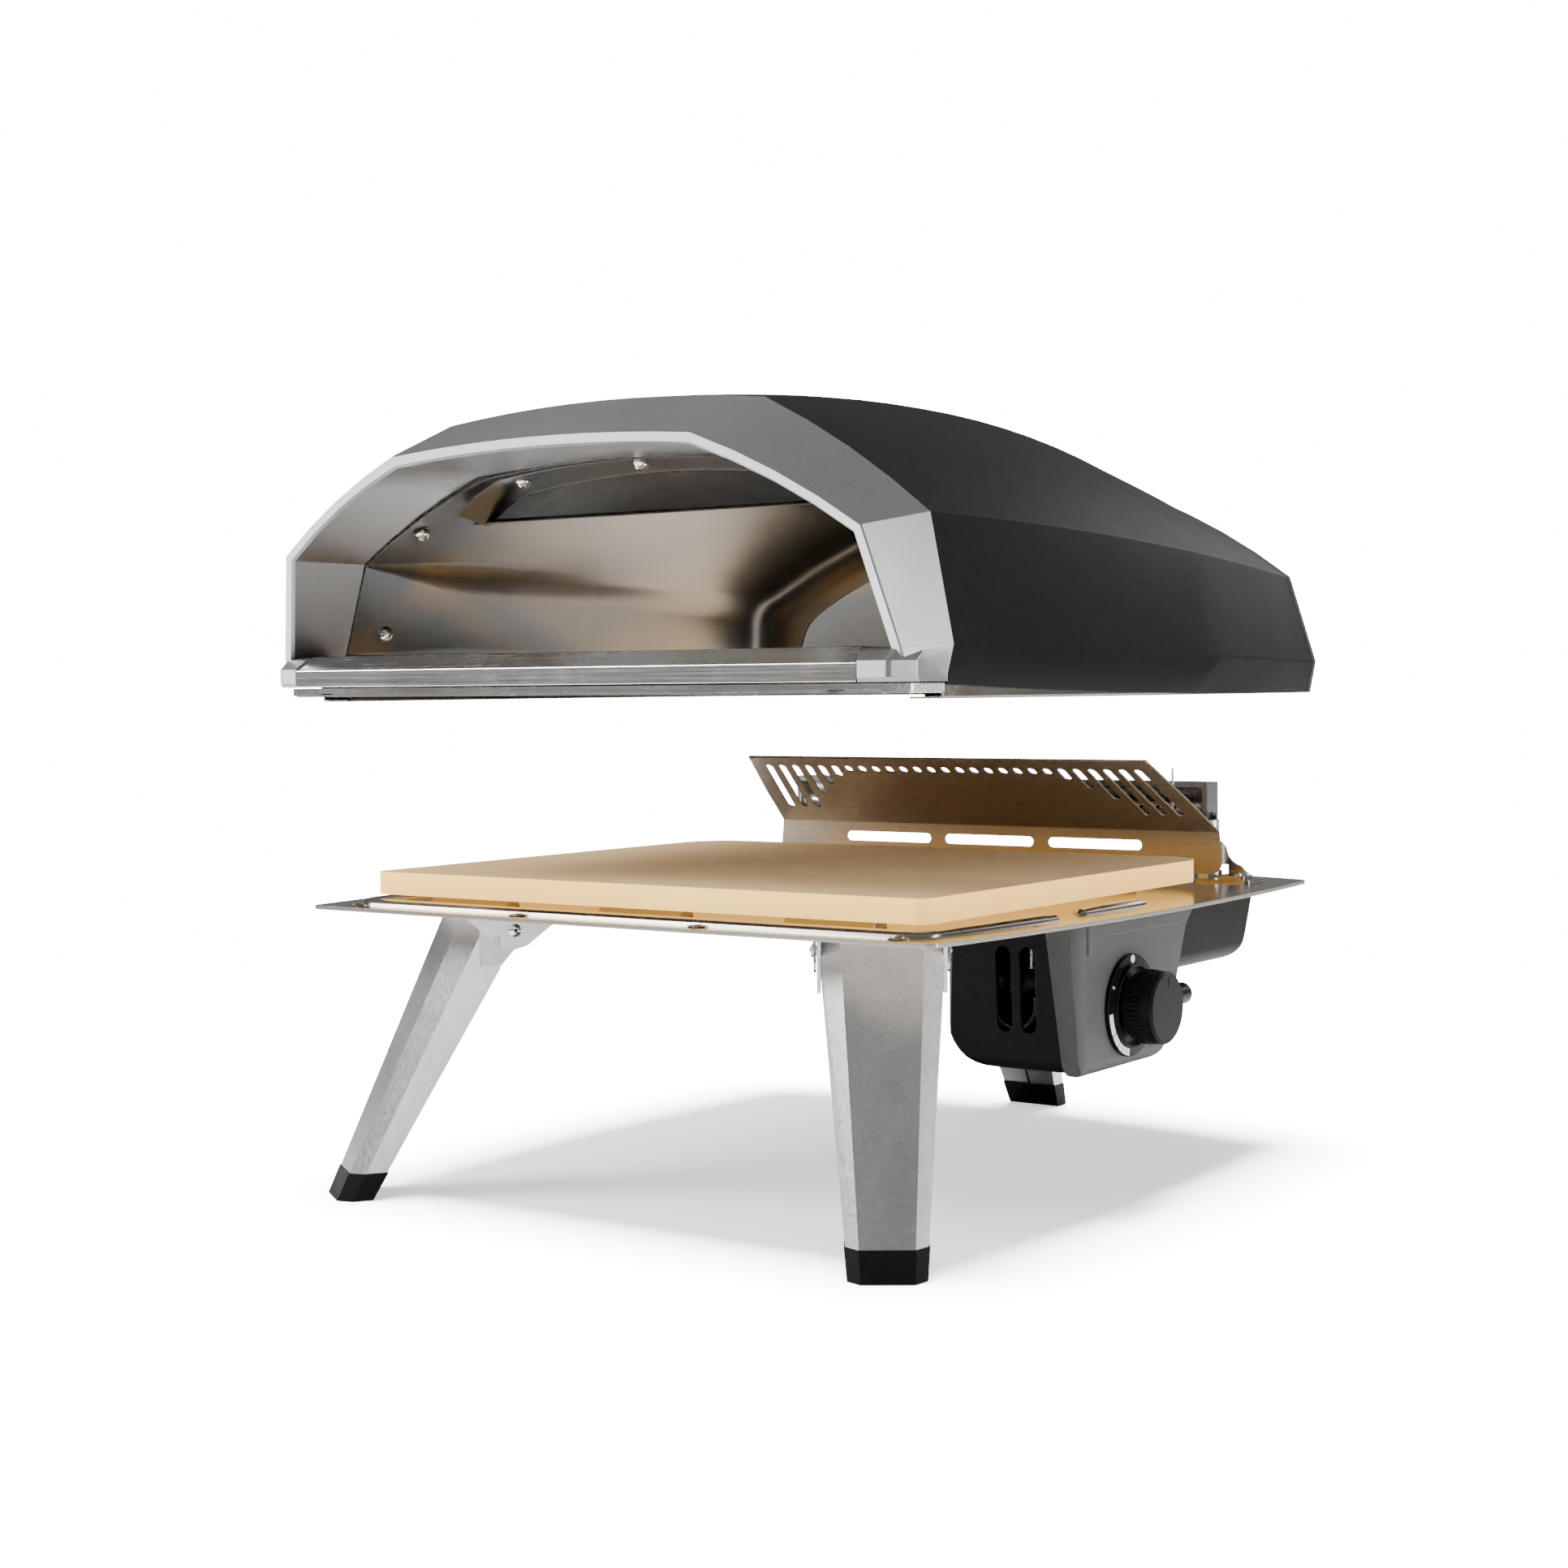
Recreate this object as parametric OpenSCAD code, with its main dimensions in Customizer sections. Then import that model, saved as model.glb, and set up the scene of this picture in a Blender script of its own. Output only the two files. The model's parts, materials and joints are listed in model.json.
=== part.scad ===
// Portable gas pizza oven: a faceted insulated shell over a steel base tray on three folding legs.
// Millimetres, +Z up, the oven's mouth faces -Y. The shell is drawn raised above the tray, ready to fit.

/* [Base tray] */
// Width of the tray across its front corners
tray_front_w = 481; // [440:1:560]
// How far each long side bows out past the front corners
tray_side_bow = 18; // [10:1:24]
// Distance from the tray's front edge to the middle of its rear edge
tray_d = 544; // [510:1:640]
// How far the rear edge bows back at its middle
tray_rear_bow = 37; // [25:1:45]
// Height of the tray's underside above the ground
tray_h = 187; // [180:1:230]
// Thickness of the tray sheet
tray_t = 1.2; // [1:0.1:2]
// Height of the rolled hem around the tray's edge
tray_hem = 2.6; // [2:0.1:4]
// Height of the raised beads that stiffen the tray
bead_h = 3; // [2:0.5:4]

/* [Baking stone] */
// Width of the stone
stone_w = 430; // [360:1:440]
// Depth of the stone
stone_d = 374; // [340:1:380]
// Thickness of the stone
stone_t = 15; // [10:0.5:16]
// Height of the pressed rests that carry the stone, above the tray
rest_h = 6.2; // [5:0.1:8]

/* [Shell] */
// How high the shell is raised above its seat on the tray
shell_raise = 134; // [100:1:160]
// Thickness of the outer shell's sheet
shell_t = 1.5; // [1:0.1:2.5]
// How far the shell's widest line stands out past its foot
shell_flare = 5; // [3:0.5:8]
// Height of the widest line above the shell's foot
flare_h = 26; // [20:1:32]
// Height of the side crease at the front
crease_h = 103; // [94:1:110]
// Half the width between the roof creases at the front
roof_half_w = 122; // [110:1:130]
// Height of the roof creases at the front
roof_h = 174; // [168:1:184]
// Extra height at the middle of the arched roof
crown = 7; // [4:0.5:10]
// Gap between the shell and the liner at the walls, filled with insulation
wall_gap = 17; // [12:1:22]
// Gap between the shell and the liner under the roof, at the front
roof_gap = 32; // [26:1:36]
// Thickness of the liner and the other steel sheets inside
sheet_t = 1.2; // [1:0.1:1.6]

/* [Front bezel and sill] */
// Distance from the stone's front edge to the face of the sill
sill_reach = 68.4; // [64:0.1:74]
// Width of the bezel's flat face
bezel_band = 8; // [6:0.5:10]
// How far the bezel's face leans forward per millimetre of height
bezel_lean = 0.2; // [0.1:0.01:0.25]
// Height of the sill's front face
sill_face_h = 10.5; // [8:0.5:14]
// Height of the sill's top above its front face
sill_rise = 9; // [6:0.5:11]

/* [Flame guard and burner] */
// Width of the guard at its bend
guard_w = 382; // [340:1:388]
// Width of the guard at its top edge
guard_top_w = 342; // [300:1:350]
// Length of the guard's sloping panel
guard_slope_l = 92; // [80:1:94]
// Slope of that panel above the horizontal
guard_slope = 35; // [28:1:36]
// Height of the bend above the tray's underside
guard_bend_h = 37; // [32:1:38]
// Pitch of the guard's slots
guard_pitch = 12.2; // [11:0.1:12.4]
// Width of a guard slot
guard_slot_w = 6.2; // [4:0.1:7]
// Outer diameter of the burner tube
burner_od = 14; // [10:1:15]
// Number of flame ports in each row
port_count = 24; // [16:1:30]

/* [Housing and control] */
// Width of the burner housing
housing_w = 90; // [80:1:96]
// Depth of the housing's deep part, front to back
housing_l = 112; // [104:1:130]
// How far the housing hangs below the tray
housing_drop = 96; // [88:1:110]
// Thickness of the housing's wall
housing_t = 2.5; // [2:0.1:3.5]
// Diameter of the dial
dial_d = 65; // [58:1:70]
// Diameter of the knob
knob_d = 47; // [38:1:50]
// Length of the knob
knob_l = 21; // [16:1:26]
// How far the knob is pushed in to light the burner
push_travel = 3; // [2:0.5:4]
// Diameter of the valve's stem
stem_d = 6; // [5:0.5:8]
// Outer diameter of the gas inlet
inlet_d = 14.6; // [12:0.2:18]

/* [Legs] */
// Direction in which the front legs splay, from straight ahead
leg_splay = 34; // [30:1:40]
// Distance from the middle plane to the front feet
foot_x = 210.5; // [200:0.5:220]
// Distance of the front feet ahead of the stone's front edge
foot_y = 34.5; // [20:0.5:45]
// Distance from the front feet to the rear foot
foot_span = 556; // [525:0.5:575]
// How far the front pivots stand inward of their feet
pivot_in = 105; // [98:1:114]
// How far the rear pivot stands inward of its foot
rear_pivot_in = 88; // [78:1:90]
// Height of the pivot below the tray's underside
pivot_drop = 13.5; // [13:0.5:20]
// Width of a leg's front face at the top
leg_face_top = 48.5; // [38:0.5:52]
// Width of a leg's front face at the foot
leg_face_foot = 30; // [26:0.5:36]
// Width of a leg's bevels at the top
leg_bevel_top = 13; // [9:0.5:15]
// Width of a leg's bevels at the foot
leg_bevel_foot = 7; // [5:0.5:9]
// Diameter of the pivot bolts
bolt_d = 6; // [5:0.5:8]
// Height of the foot caps
cap_h = 17.5; // [14:0.5:26]

/* [Fits] */
// Clearance between parts that move past each other
slide_gap = 0.3; // [0.2:0.05:0.5]
// Clearance around a pin or a stem, on the radius
pin_gap = 0.05; // [0.03:0.01:0.1]

/* [Hidden] */
$fn = 48;

// Tray outline
tray_front_y = -33;
bow_y = 235;
tray_top = tray_h + tray_hem;
rear_corner_y = tray_front_y + tray_d - tray_rear_bow;
edge_steps = 14;

// Half the tray's width at a distance y behind the stone's front edge
function half_w(y) = tray_front_w / 2
    + tray_side_bow * (1 - pow((y - bow_y) / (bow_y - tray_front_y), 2));
corner_w = half_w(rear_corner_y);
// Where the tray's rear edge lies at a distance x from the middle
function back_y(x) = rear_corner_y + tray_rear_bow * (1 - pow(x / corner_w, 2));
function lerp(a, b, t) = a + (b - a) * t;

// An outline with each corner rounded to its own radius
function round_corner(a, p, b, r, n) = r == 0 ? [p] : let (
    u = (a - p) / norm(a - p), v = (b - p) / norm(b - p), h = acos(u * v) / 2,
    c = p + (u + v) / norm(u + v) * r / sin(h), s = p + u * r / tan(h) - c,
    turn = (cross(u, v) > 0 ? -1 : 1) * (180 - 2 * h))
    [for (k = [0 : n]) c + [s.x * cos(turn * k / n) - s.y * sin(turn * k / n),
                            s.x * sin(turn * k / n) + s.y * cos(turn * k / n)]];
function rounded(pts, r, n = 6) = [for (i = [0 : len(pts) - 1])
    each round_corner(pts[(i + len(pts) - 1) % len(pts)], pts[i], pts[(i + 1) % len(pts)], r[i], n)];
function all_same(r, n) = [for (i = [1 : n]) r];

// The tray's outline, drawn in by a given distance
function tray_outline(inset) = let (
    side = [for (k = [0 : edge_steps])
        let (y = lerp(tray_front_y + inset, rear_corner_y - inset, k / edge_steps)) [half_w(y) - inset, y]],
    rear = [for (k = [1 : edge_steps - 1]) let (x = lerp(corner_w - inset, inset - corner_w, k / edge_steps))
        [x, back_y(x) - inset]],
    other = [for (k = [edge_steps : -1 : 0]) [-side[k].x, side[k].y]],
    pts = concat(side, rear, other))
    rounded(pts, [for (i = [0 : len(pts) - 1]) i == 0 || i == len(pts) - 1 ? 6
        : i == edge_steps || i == 2 * edge_steps ? 12 : 0]);

// Shell sections, measured from the shell's foot: t runs from the bezel at 0 to the rear panel at 1
bezel_back_y = -20;
shell_back_y = rear_corner_y + tray_rear_bow - 2;
rear_lean = 0.27;
crease_tuck = 9.5;
foot_lift = 8;
side_steps = 4;
crown_steps = 10;
function flare_z(t) = flare_h + 4 - 8 * t;
function crease_z(t) = crease_h - 20.5 * pow(t, 1.45);
function roof_z(t) = roof_h + 44 * t - 49.5 * t * t - 23.5 * pow(t, 3);
function roof_crown(t) = crown + 20 * t;
function lift(t) = foot_lift * pow(1 - t, 2.9);
// An arch as a list of [x, z], from its right foot over the roof to its left foot
function arch(p0, p1, p2, p3, rise) = let (
    right = [p0, p1, for (k = [0 : side_steps]) let (s = k / side_steps)
        p2 + (p3 - p2) * s + [0.55, 0.83] * 16 * s * (1 - s)],
    roof = [for (k = [1 : crown_steps - 1]) let (x = p3.x * (1 - 2 * k / crown_steps))
        [x, p3.y + rise * (1 - pow(x / p3.x, 2))]],
    left = [for (k = [len(right) - 1 : -1 : 0]) [-right[k].x, right[k].y]])
    concat(right, roof, left);
// One section of the shell, moved inward by side at the walls and by top at the roof
function section(y, t, side, top, foot = 0) = arch([half_w(y) - side, foot],
    [half_w(y) + shell_flare - side, flare_z(t)],
    [half_w(y) - crease_tuck - side, crease_z(t) - 0.27 * (side + top)],
    [roof_half_w - 0.31 * top, roof_z(t) - top], roof_crown(t));
// A section with its creases softened to a radius r
function softened(s, r) = let (n = len(s)) rounded(s, [for (i = [0 : n - 1])
    i == 1 || i == n - 2 || i == 2 || i == n - 3 ? r
        : i == 2 + side_steps || i == n - 3 - side_steps ? 50 : 0], 4);
// Where the rear panel's face lies
function rear_y(x, z) = shell_back_y - tray_rear_bow * pow(x / corner_w, 2)
    - rear_lean * max(z - flare_z(1), 0);
// Section t as points in space, ending short of the rear panel and leaning back at the front
function station(t, side, top, front, short, foot = 0, lean = 0, soft = 0) = let (
    y = lerp(bezel_back_y, rear_corner_y, t), s = section(y, t, side, top, foot))
    [for (p = soft > 0 ? softened(s, soft) : s)
        [p.x, lerp(front + lean * p.y, rear_y(p.x, p.y) - short, t), p.y]];

// A sheet or blanket between two families of arches: outer[k][i] and inner[k][i]
module arch_loft(outer, inner) {
    rows = len(outer);
    cols = len(outer[0]);
    count = rows * cols;
    pts = concat([for (r = outer) each r], [for (r = inner) each r]);
    faces = concat(
        [for (k = [0 : rows - 2], i = [0 : cols - 2], b = k * cols + i)
            each quad(b, b + 1, b + cols + 1, b + cols)],
        [for (k = [0 : rows - 2], i = [0 : cols - 2], b = count + k * cols + i)
            each quad(b, b + cols, b + cols + 1, b + 1)],
        [for (i = [0 : cols - 2]) each quad(i, count + i, count + i + 1, i + 1)],
        [for (i = [0 : cols - 2], b = (rows - 1) * cols) each quad(b + i, b + i + 1,
            count + b + i + 1, count + b + i)],
        [for (k = [0 : rows - 2], b = k * cols) each quad(b, b + cols, count + b + cols, count + b)],
        [for (k = [0 : rows - 2], b = k * cols + cols - 1)
            each quad(b, count + b, count + b + cols, b + cols)]);
    polyhedron(pts, faces);
}
function quad(a, b, c, d) = [[a, b, c], [a, c, d]];

// A plate that closes an arch: each row runs from the arch's right side to its left at one height
module arch_plate(arch, t_plate, out) {
    half = floor(len(arch) / 2);
    across = 12;
    front = [for (r = [0 : half - 1]) [for (k = [0 : across]) let (x = arch[r].x * (1 - 2 * k / across))
        [x, rear_y(x, arch[r].y) + out, arch[r].y]]];
    back = [for (r = front) [for (p = r) [p.x, p.y + t_plate, p.z]]];
    arch_loft(back, front);
}
shell_z = tray_top + slide_gap + shell_raise;
module on_shell() { placed() translate([0, 0, shell_z]) children(); }

// Where the whole oven stands: the origin is under the middle of its box
shell_half_w = tray_front_w / 2 + tray_side_bow + shell_flare;
bezel_face_y = -52;
bezel_drop = 23.4;
bezel_rise = 5;
function face_y(z) = bezel_face_y - bezel_lean * z;
peak_y = face_y(roof_h - bezel_drop + bezel_rise);
rear_foot_y = foot_span - foot_y;
foot_half_d = 9;
rear_foot_out_y = rear_foot_y + foot_half_d + 1;
module placed() { translate([0, -(peak_y + rear_foot_out_y) / 2, 0]) children(); }
module slot(l, w) {
    translate([-l / 2 + w / 2, -w / 2]) square([l - w, w]);
    for (s = [-1, 1]) translate([s * (l - w) / 2, 0]) circle(d = w, $fn = 24);
}
module both_sides() { children(); mirror([1, 0, 0]) children(); }
// A part drawn in the X-Y plane stood up so that it is drawn in X-Z and its thickness runs towards +Y
module upright(t) { translate([0, t, 0]) rotate([90, 0, 0]) linear_extrude(t) children(); }
// A part drawn in the X-Y plane turned so that it is drawn in Y-Z and its thickness runs towards +X
module sideways(t) { rotate([90, 0, 90]) linear_extrude(t) children(); }
module dome_head(d, h) {
    rotate_extrude($fn = 32) intersection() {
        translate([0, h - d * d / (8 * h) - h / 2]) circle(r = d * d / (8 * h) + h / 2, $fn = 96);
        square([d / 2, h]);
    }
}

// --- Base tray and stone ---
tray_screw_d = 5;
flange_y = tray_front_y + 12;
tray_screws = [for (x = [-1.5 : 1 : 1.5]) [x * (tray_front_w - 60) / 3, flange_y]];
side_screws = [for (s = [-1, 1], y = [82, rear_corner_y - 72]) [s * (half_w(y) - 13), y]];
pipe_x = guard_w / 2 - 14;
guard_y = stone_d + 66;
pipe_d = 20;
burner_y = guard_y + 12;
bead_w = 13;
pad_top = tray_top + 1.82;
bead_in = 27;
// A rounded bead raised along a path of [x, y] points, tapering into the sheet at both ends
module ridge(path, w, h) {
    n = len(path) - 1;
    function side(i) = let (d = path[min(i + 1, n)] - path[max(i - 1, 0)])
        [d.y, -d.x] / norm(d);
    function size(i) = i == 0 || i == n ? 0.25 : i == 1 || i == n - 1 ? 0.8 : 1;
    function at(i, a) = path[i] + side(i) * cos(a) * w / 2 * size(i);
    outer = [for (i = [0 : n]) [for (a = [0 : 22.5 : 180]) [at(i, a).x, at(i, a).y, sin(a) * h * size(i)]]];
    inner = [for (i = [0 : n]) [for (a = [0 : 22.5 : 180]) [at(i, a).x, at(i, a).y, -0.5]]];
    arch_loft(outer, inner);
}
corner_arc = [for (a = [0 : 15 : 90]) [tray_front_w / 2 - bead_in - 9.5, tray_front_y + bead_in + 12]
    + 14 * [cos(a), -sin(a)]];
side_bead = [for (y = [128, 124, 108, 88, 68, 45, 30]) [half_w(y) - bead_in, y]];
right_bead = concat(side_bead, corner_arc);
front_bead = concat(right_bead,
    [for (k = [len(right_bead) - 1 : -1 : 0]) [-right_bead[k].x, right_bead[k].y]]);
short_bead = [for (y = [159, 163, 186, 210, 234, 242, 246]) [half_w(y) - bead_in - 4, y]];
module base_tray() {
    color("silver") placed() difference() {
        union() {
            translate([0, 0, tray_top - tray_t]) linear_extrude(tray_t) polygon(tray_outline(0));
            translate([0, 0, tray_h]) linear_extrude(tray_hem - tray_t / 2) difference() {
                polygon(tray_outline(0));
                polygon(tray_outline(2));
            }
            translate([0, 0, tray_top]) ridge(front_bead, bead_w, bead_h + 1);
            for (s = [-1, 1]) translate([0, 0, tray_top]) {
                ridge([for (p = short_bead) [s * p.x, p.y]], bead_w, bead_h + 1);
                translate([s * (corner_w - 44), rear_corner_y - 36, -0.2]) linear_extrude(2)
                    polygon(rounded([[-22, -16], [22, -16], [20, 14], [-20, 14]], all_same(4, 4)));
            }
            for (p = tray_screws) translate([p.x, p.y, tray_top - 0.2])
                cylinder(d1 = tray_screw_d + 9, d2 = tray_screw_d + 6, h = 1.2, $fn = 36);
        }
        for (p = concat(tray_screws, side_screws)) translate([p.x, p.y, tray_h - 1]) {
            cylinder(d = tray_screw_d, h = tray_hem + 4);
            translate([0, 0, tray_hem + 1.3]) cylinder(d = tray_screw_d + 4, h = 2);
        }
        translate([pipe_x, burner_y, tray_h - 1]) cylinder(d = pipe_d + 2 * slide_gap, h = tray_hem + 4);
    }
}
rest_xs = [-1, 0, 1] * stone_w * 0.33;
rest_l = 64;
// Pressed rests under the stone, with sloping sides and ends
module stone_rests() {
    color("silver") placed() for (x = rest_xs, y = [18, stone_d - 36])
        translate([x - rest_l / 2, y, tray_top]) sideways(rest_l)
            polygon([[-9, 0], [9, 0], [6, rest_h], [-6, rest_h]]);
}
stone_z = tray_top + rest_h;
module baking_stone() {
    color("wheat") placed() translate([0, 0, stone_z]) linear_extrude(stone_t)
        polygon(rounded([[-stone_w / 2, 0], [stone_w / 2, 0], [stone_w / 2, stone_d], [-stone_w / 2, stone_d]],
            [8, 8, 34, 34], 10));
}

// --- Flame guard ---
guard_t = 1.2;
bend_z = tray_h + guard_bend_h;
guard_foot_z = tray_top + 4;
guard_slots = 27;
long_slots = 6;
function slot_len(k) = let (e = min(k, guard_slots - 1 - k), full = guard_slope_l - 30)
    e < 3 ? full : e < long_slots ? full * [0.65, 0.42, 0.24][e - 3] : guard_slot_w + 2;
module guard_panel() {
    difference() {
        polygon([[-guard_w / 2, 0], [guard_w / 2, 0], [guard_w / 2 - 9, guard_slope_l * 0.5],
            [guard_top_w / 2, guard_slope_l], [-guard_top_w / 2, guard_slope_l],
            [9 - guard_w / 2, guard_slope_l * 0.5]]);
        for (k = [0 : guard_slots - 1]) let (l = slot_len(k), x = (k - (guard_slots - 1) / 2) * guard_pitch)
            translate([x, guard_slope_l - 11]) rotate(atan(x * (guard_w / guard_top_w - 1) / guard_slope_l))
                translate([0, -l / 2]) rotate(90) slot(l, guard_slot_w);
    }
}
module flame_guard() {
    color("silver") placed() {
        translate([0, guard_y, bend_z]) rotate([180 - guard_slope, 0, 0]) mirror([0, 0, 1])
            linear_extrude(guard_t) guard_panel();
        translate([0, guard_y, bend_z]) rotate([180 - guard_slope, 0, 0])
            translate([-guard_top_w / 2, guard_slope_l - 3, -1.6]) cube([guard_top_w, 3, 1.6 + guard_t / 2]);
        translate([0, guard_y, 0]) upright(guard_t) difference() {
            polygon(rounded([[-guard_w / 2, bend_z + 0.3], [-guard_w / 2 - 3, guard_foot_z],
                [guard_w / 2 + 3, guard_foot_z], [guard_w / 2, bend_z + 0.3]], [0, 9, 9, 0]));
            for (k = [-1, 0, 1]) translate([k * guard_w * 0.237, (guard_foot_z + bend_z) / 2 + 4])
                slot(78, 7.5);
        }
    }
}
module guard_posts() {
    color("silver") placed() for (x = [7 - pipe_x, 0]) translate([x, guard_y - 6, tray_top]) {
        cylinder(d = 10, h = guard_foot_z - tray_top + 6);
        translate([-6, 0, 2]) cube([12, 6, 8]);
    }
}

// --- Burner behind the guard ---
box_w = guard_w - 22;
box_d = 18;
box_h = 64;
box_z = tray_top + 6;
tube_z = box_z + box_h * 0.68;
module burner_box() {
    color("silver") placed() translate([0, burner_y, box_z]) difference() {
        translate([-box_w / 2, -box_d / 2 + 1, 0]) cube([box_w, box_d, box_h]);
        hull() {
            translate([-box_w / 2 + 3, -box_d / 2, 12]) cube([box_w - 6, 0.1, box_h - 15]);
            translate([-box_w / 2 + 24, box_d / 2 - 1, 26]) cube([box_w - 48, 0.1, box_h - 46]);
        }
        translate([33 - box_w / 2, -box_d / 2, 8]) cube([box_w - 66, box_d + 2, 20]);
        translate([0, 0, tube_z - box_z]) rotate([0, 90, 0])
            cylinder(d = burner_od, h = box_w - 4, center = true);
        translate([pipe_x, 0, -1]) cylinder(d = pipe_d - 4, h = tube_z - box_z);
    }
}
module burner_tube() {
    color("gray") placed() translate([0, burner_y, tube_z]) rotate([0, 90, 0]) difference() {
        cylinder(d = burner_od - 2 * pin_gap, h = box_w - 8, center = true);
        cylinder(d = burner_od - 3, h = box_w - 14, center = true);
        for (k = [1 : port_count], a = [-16, 16]) rotate([0, 0, a]) translate([0, 0, (k - (port_count + 1) / 2)
            * (box_w - 40) / port_count]) rotate([90, 0, 0]) cylinder(d = 3, h = burner_od, $fn = 8);
    }
}
module burner_brackets() {
    color("silver") placed() both_sides() translate([box_w / 2, burner_y - 4, pad_top]) {
        translate([0, 12.3, 0]) upright(1.5) difference() {
            polygon([[0, 8], [9, 8], [9, 1.4], [24, 1.4], [21, 5], [4, 24], [0, 26]]);
            translate([22, 22]) circle(r = 15);
        }
        linear_extrude(1.5) polygon(rounded([[8.5, -8], [30, -8], [30, 8], [25, 14], [8.5, 14]],
            all_same(3, 5)));
    }
}
module burner_screws() {
    color("gainsboro") placed() both_sides() for (y = [-8, 5])
        translate([box_w / 2 + 24, burner_y + y, pad_top + 1.5]) dome_head(6, 2.2);
}
module igniter_electrode() {
    placed() translate([pipe_x - 24, burner_y - 6.6, 0]) {
        color("white") translate([0, 0, box_z + 17]) cylinder(d = 4, h = 17);
        color("silver") translate([0, -2.4, box_z + 32]) cylinder(d = 1.6, h = box_h - 22);
        color("silver") translate([0, -1, box_z + 15]) cylinder(d = 1.6, h = 3);
    }
}
module flame_sensor() {
    color("darkgray") placed() translate([24 - pipe_x, burner_y - 6.6, box_z + 17]) {
        cylinder(d = 4, h = 17);
        translate([0, -2.4, 15]) cylinder(d = 1.6, h = box_h - 30);
    }
}

// --- Burner housing, hung under the tray's right side ---
plate_under = tray_top - tray_t;
housing_x = 140;
housing_right = housing_x + housing_w + 3.5;
housing_y = 148;
housing_back = housing_y + housing_l;
housing_z = tray_h - housing_drop;
cover_t = 2;
cover_x = housing_right + cover_t;
tail_x = 100;
tail_y = 416;
tail_z = tray_h - 46;
// Outlines of the deep part seen from the front, the side and above, grown outward by g
function deep_xz(g) = rounded([[housing_x - g, plate_under], [housing_x - 2 - g, housing_z - g],
    [housing_right + g, housing_z - g], [housing_right + g, plate_under]], [0, 32 + g, 7 + g, 0], 8);
function deep_yz(g) = rounded([[housing_y - 3 - g, plate_under], [housing_y + 2 - g, housing_z - g],
    [housing_back - 4 + g, housing_z - g], [housing_back + 31 + g, tray_h - 14],
    [housing_back + 48 + g, plate_under]], [0, 8 + g, 16 + g, 10, 0]);
function deep_xy(g) = rounded([[housing_x - 3 - g, housing_y - 3 - g], [housing_right + g, housing_y - 3 - g],
    [housing_right + g, tail_y + 9], [housing_x - 3 - g, tail_y + 9]], [14 + g, 9 + g, 0, 0]);
// The same for the shallow part behind it
function tail_xz(g) = rounded([[tail_x - g, plate_under], [tail_x - g, tail_z - g],
    [housing_right - 5 + g, tail_z - g], [housing_right - 5 + g, plate_under]], [0, 20 + g, 10 + g, 0]);
function tail_yz(g) = rounded([[housing_back - 8 - g, plate_under], [housing_back - 8 - g, tail_z - g],
    [tail_y - 21 + g, tail_z - g], [tail_y - 1 + g, plate_under]], [0, 0, 28 + g, 0], 8);
module crossed(xz, yz) {
    intersection() {
        translate([0, tail_y + 10, 0]) upright_back(tail_y + 10) polygon(xz);
        sideways(housing_right + 20) polygon(yz);
    }
}
module upright_back(t) { rotate([90, 0, 0]) linear_extrude(t) children(); }
module deep(g) {
    intersection() {
        crossed(deep_xz(g), deep_yz(g));
        linear_extrude(tray_top) polygon(deep_xy(g));
    }
}
vent_w = 11;
vent_l = 54;
vent_x = housing_x + 41;
dial_y = housing_y + 62;
dial_z = tray_h - 58.5;
hub_d = 13;
inlet_x = housing_right - 16;
inlet_z = dial_z - 6;
inlet_end_y = housing_back + 66;
under_screws = [for (y = [housing_y + 22, housing_back - 26]) [housing_right - 13, y]];
module burner_housing() {
    color("#202020") placed() difference() {
        union() {
            deep(0);
            crossed(tail_xz(0), tail_yz(0));
        }
        deep(-housing_t);
        crossed(tail_xz(-housing_t), tail_yz(-housing_t));
        translate([housing_x + housing_t, housing_back - 20, plate_under - 6]) cube([housing_w - 2, 30, 8]);
        for (k = [0, 1]) translate([vent_x + k * 17, housing_y - 8, tray_h - 18 - vent_l / 2])
            rotate([-90, 0, 0]) linear_extrude(20) rotate(90) slot(vent_l, vent_w);
        for (k = [0 : 2]) translate([housing_x - 6, housing_y + 16 + k * 5, housing_z + 40]) rotate([12, 0, 0])
            cube([12, 1.6, 26]);
        translate([housing_right - 10, dial_y, dial_z]) rotate([0, 90, 0]) cylinder(d = hub_d + 12, h = 20);
        translate([inlet_x, housing_back - 20, inlet_z]) rotate([-90, 0, 0]) cylinder(d = inlet_d - 2, h = 60);
        for (p = under_screws) translate([p.x, p.y, housing_z - 1]) cylinder(d = 3, h = 6);
    }
}
module control_cover() {
    color("#4d4d4d") placed() difference() {
        intersection() {
            difference() {
                deep(cover_t);
                deep(0);
            }
            translate([0, tail_y, 0]) upright_back(tail_y) polygon([[housing_right - 21.5, tray_h - 0.4],
                [housing_right - 10, housing_z - 10], [housing_right + 9, housing_z - 10],
                [housing_right + 9, tray_h - 0.4]]);
        }
        translate([housing_right - 1, dial_y, dial_z]) rotate([0, 90, 0]) cylinder(d = hub_d, h = 20);
        translate([inlet_x, housing_back - 20, inlet_z]) rotate([-90, 0, 0]) cylinder(d = inlet_d + 5, h = 60);
        for (p = under_screws) translate([p.x, p.y, housing_z - 4]) cylinder(d = 3, h = 6);
    }
}
dial_t = 3;
collar_d = knob_d + 6;
knob_x = cover_x + dial_t + push_travel + 0.6;
module dial_plate() {
    color("#161616") placed() translate([cover_x, dial_y, dial_z]) rotate([0, 90, 0]) difference() {
        union() {
            cylinder(d = dial_d, h = dial_t, $fn = 96);
            cylinder(d = collar_d, h = dial_t + 3, $fn = 96);
        }
        translate([0, 0, dial_t - 1]) cylinder(d = collar_d - 3, h = 10, $fn = 96);
        translate([0, 0, -1]) cylinder(d = hub_d, h = 10);
    }
}
mark_r = (dial_d + collar_d) / 4;
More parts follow.
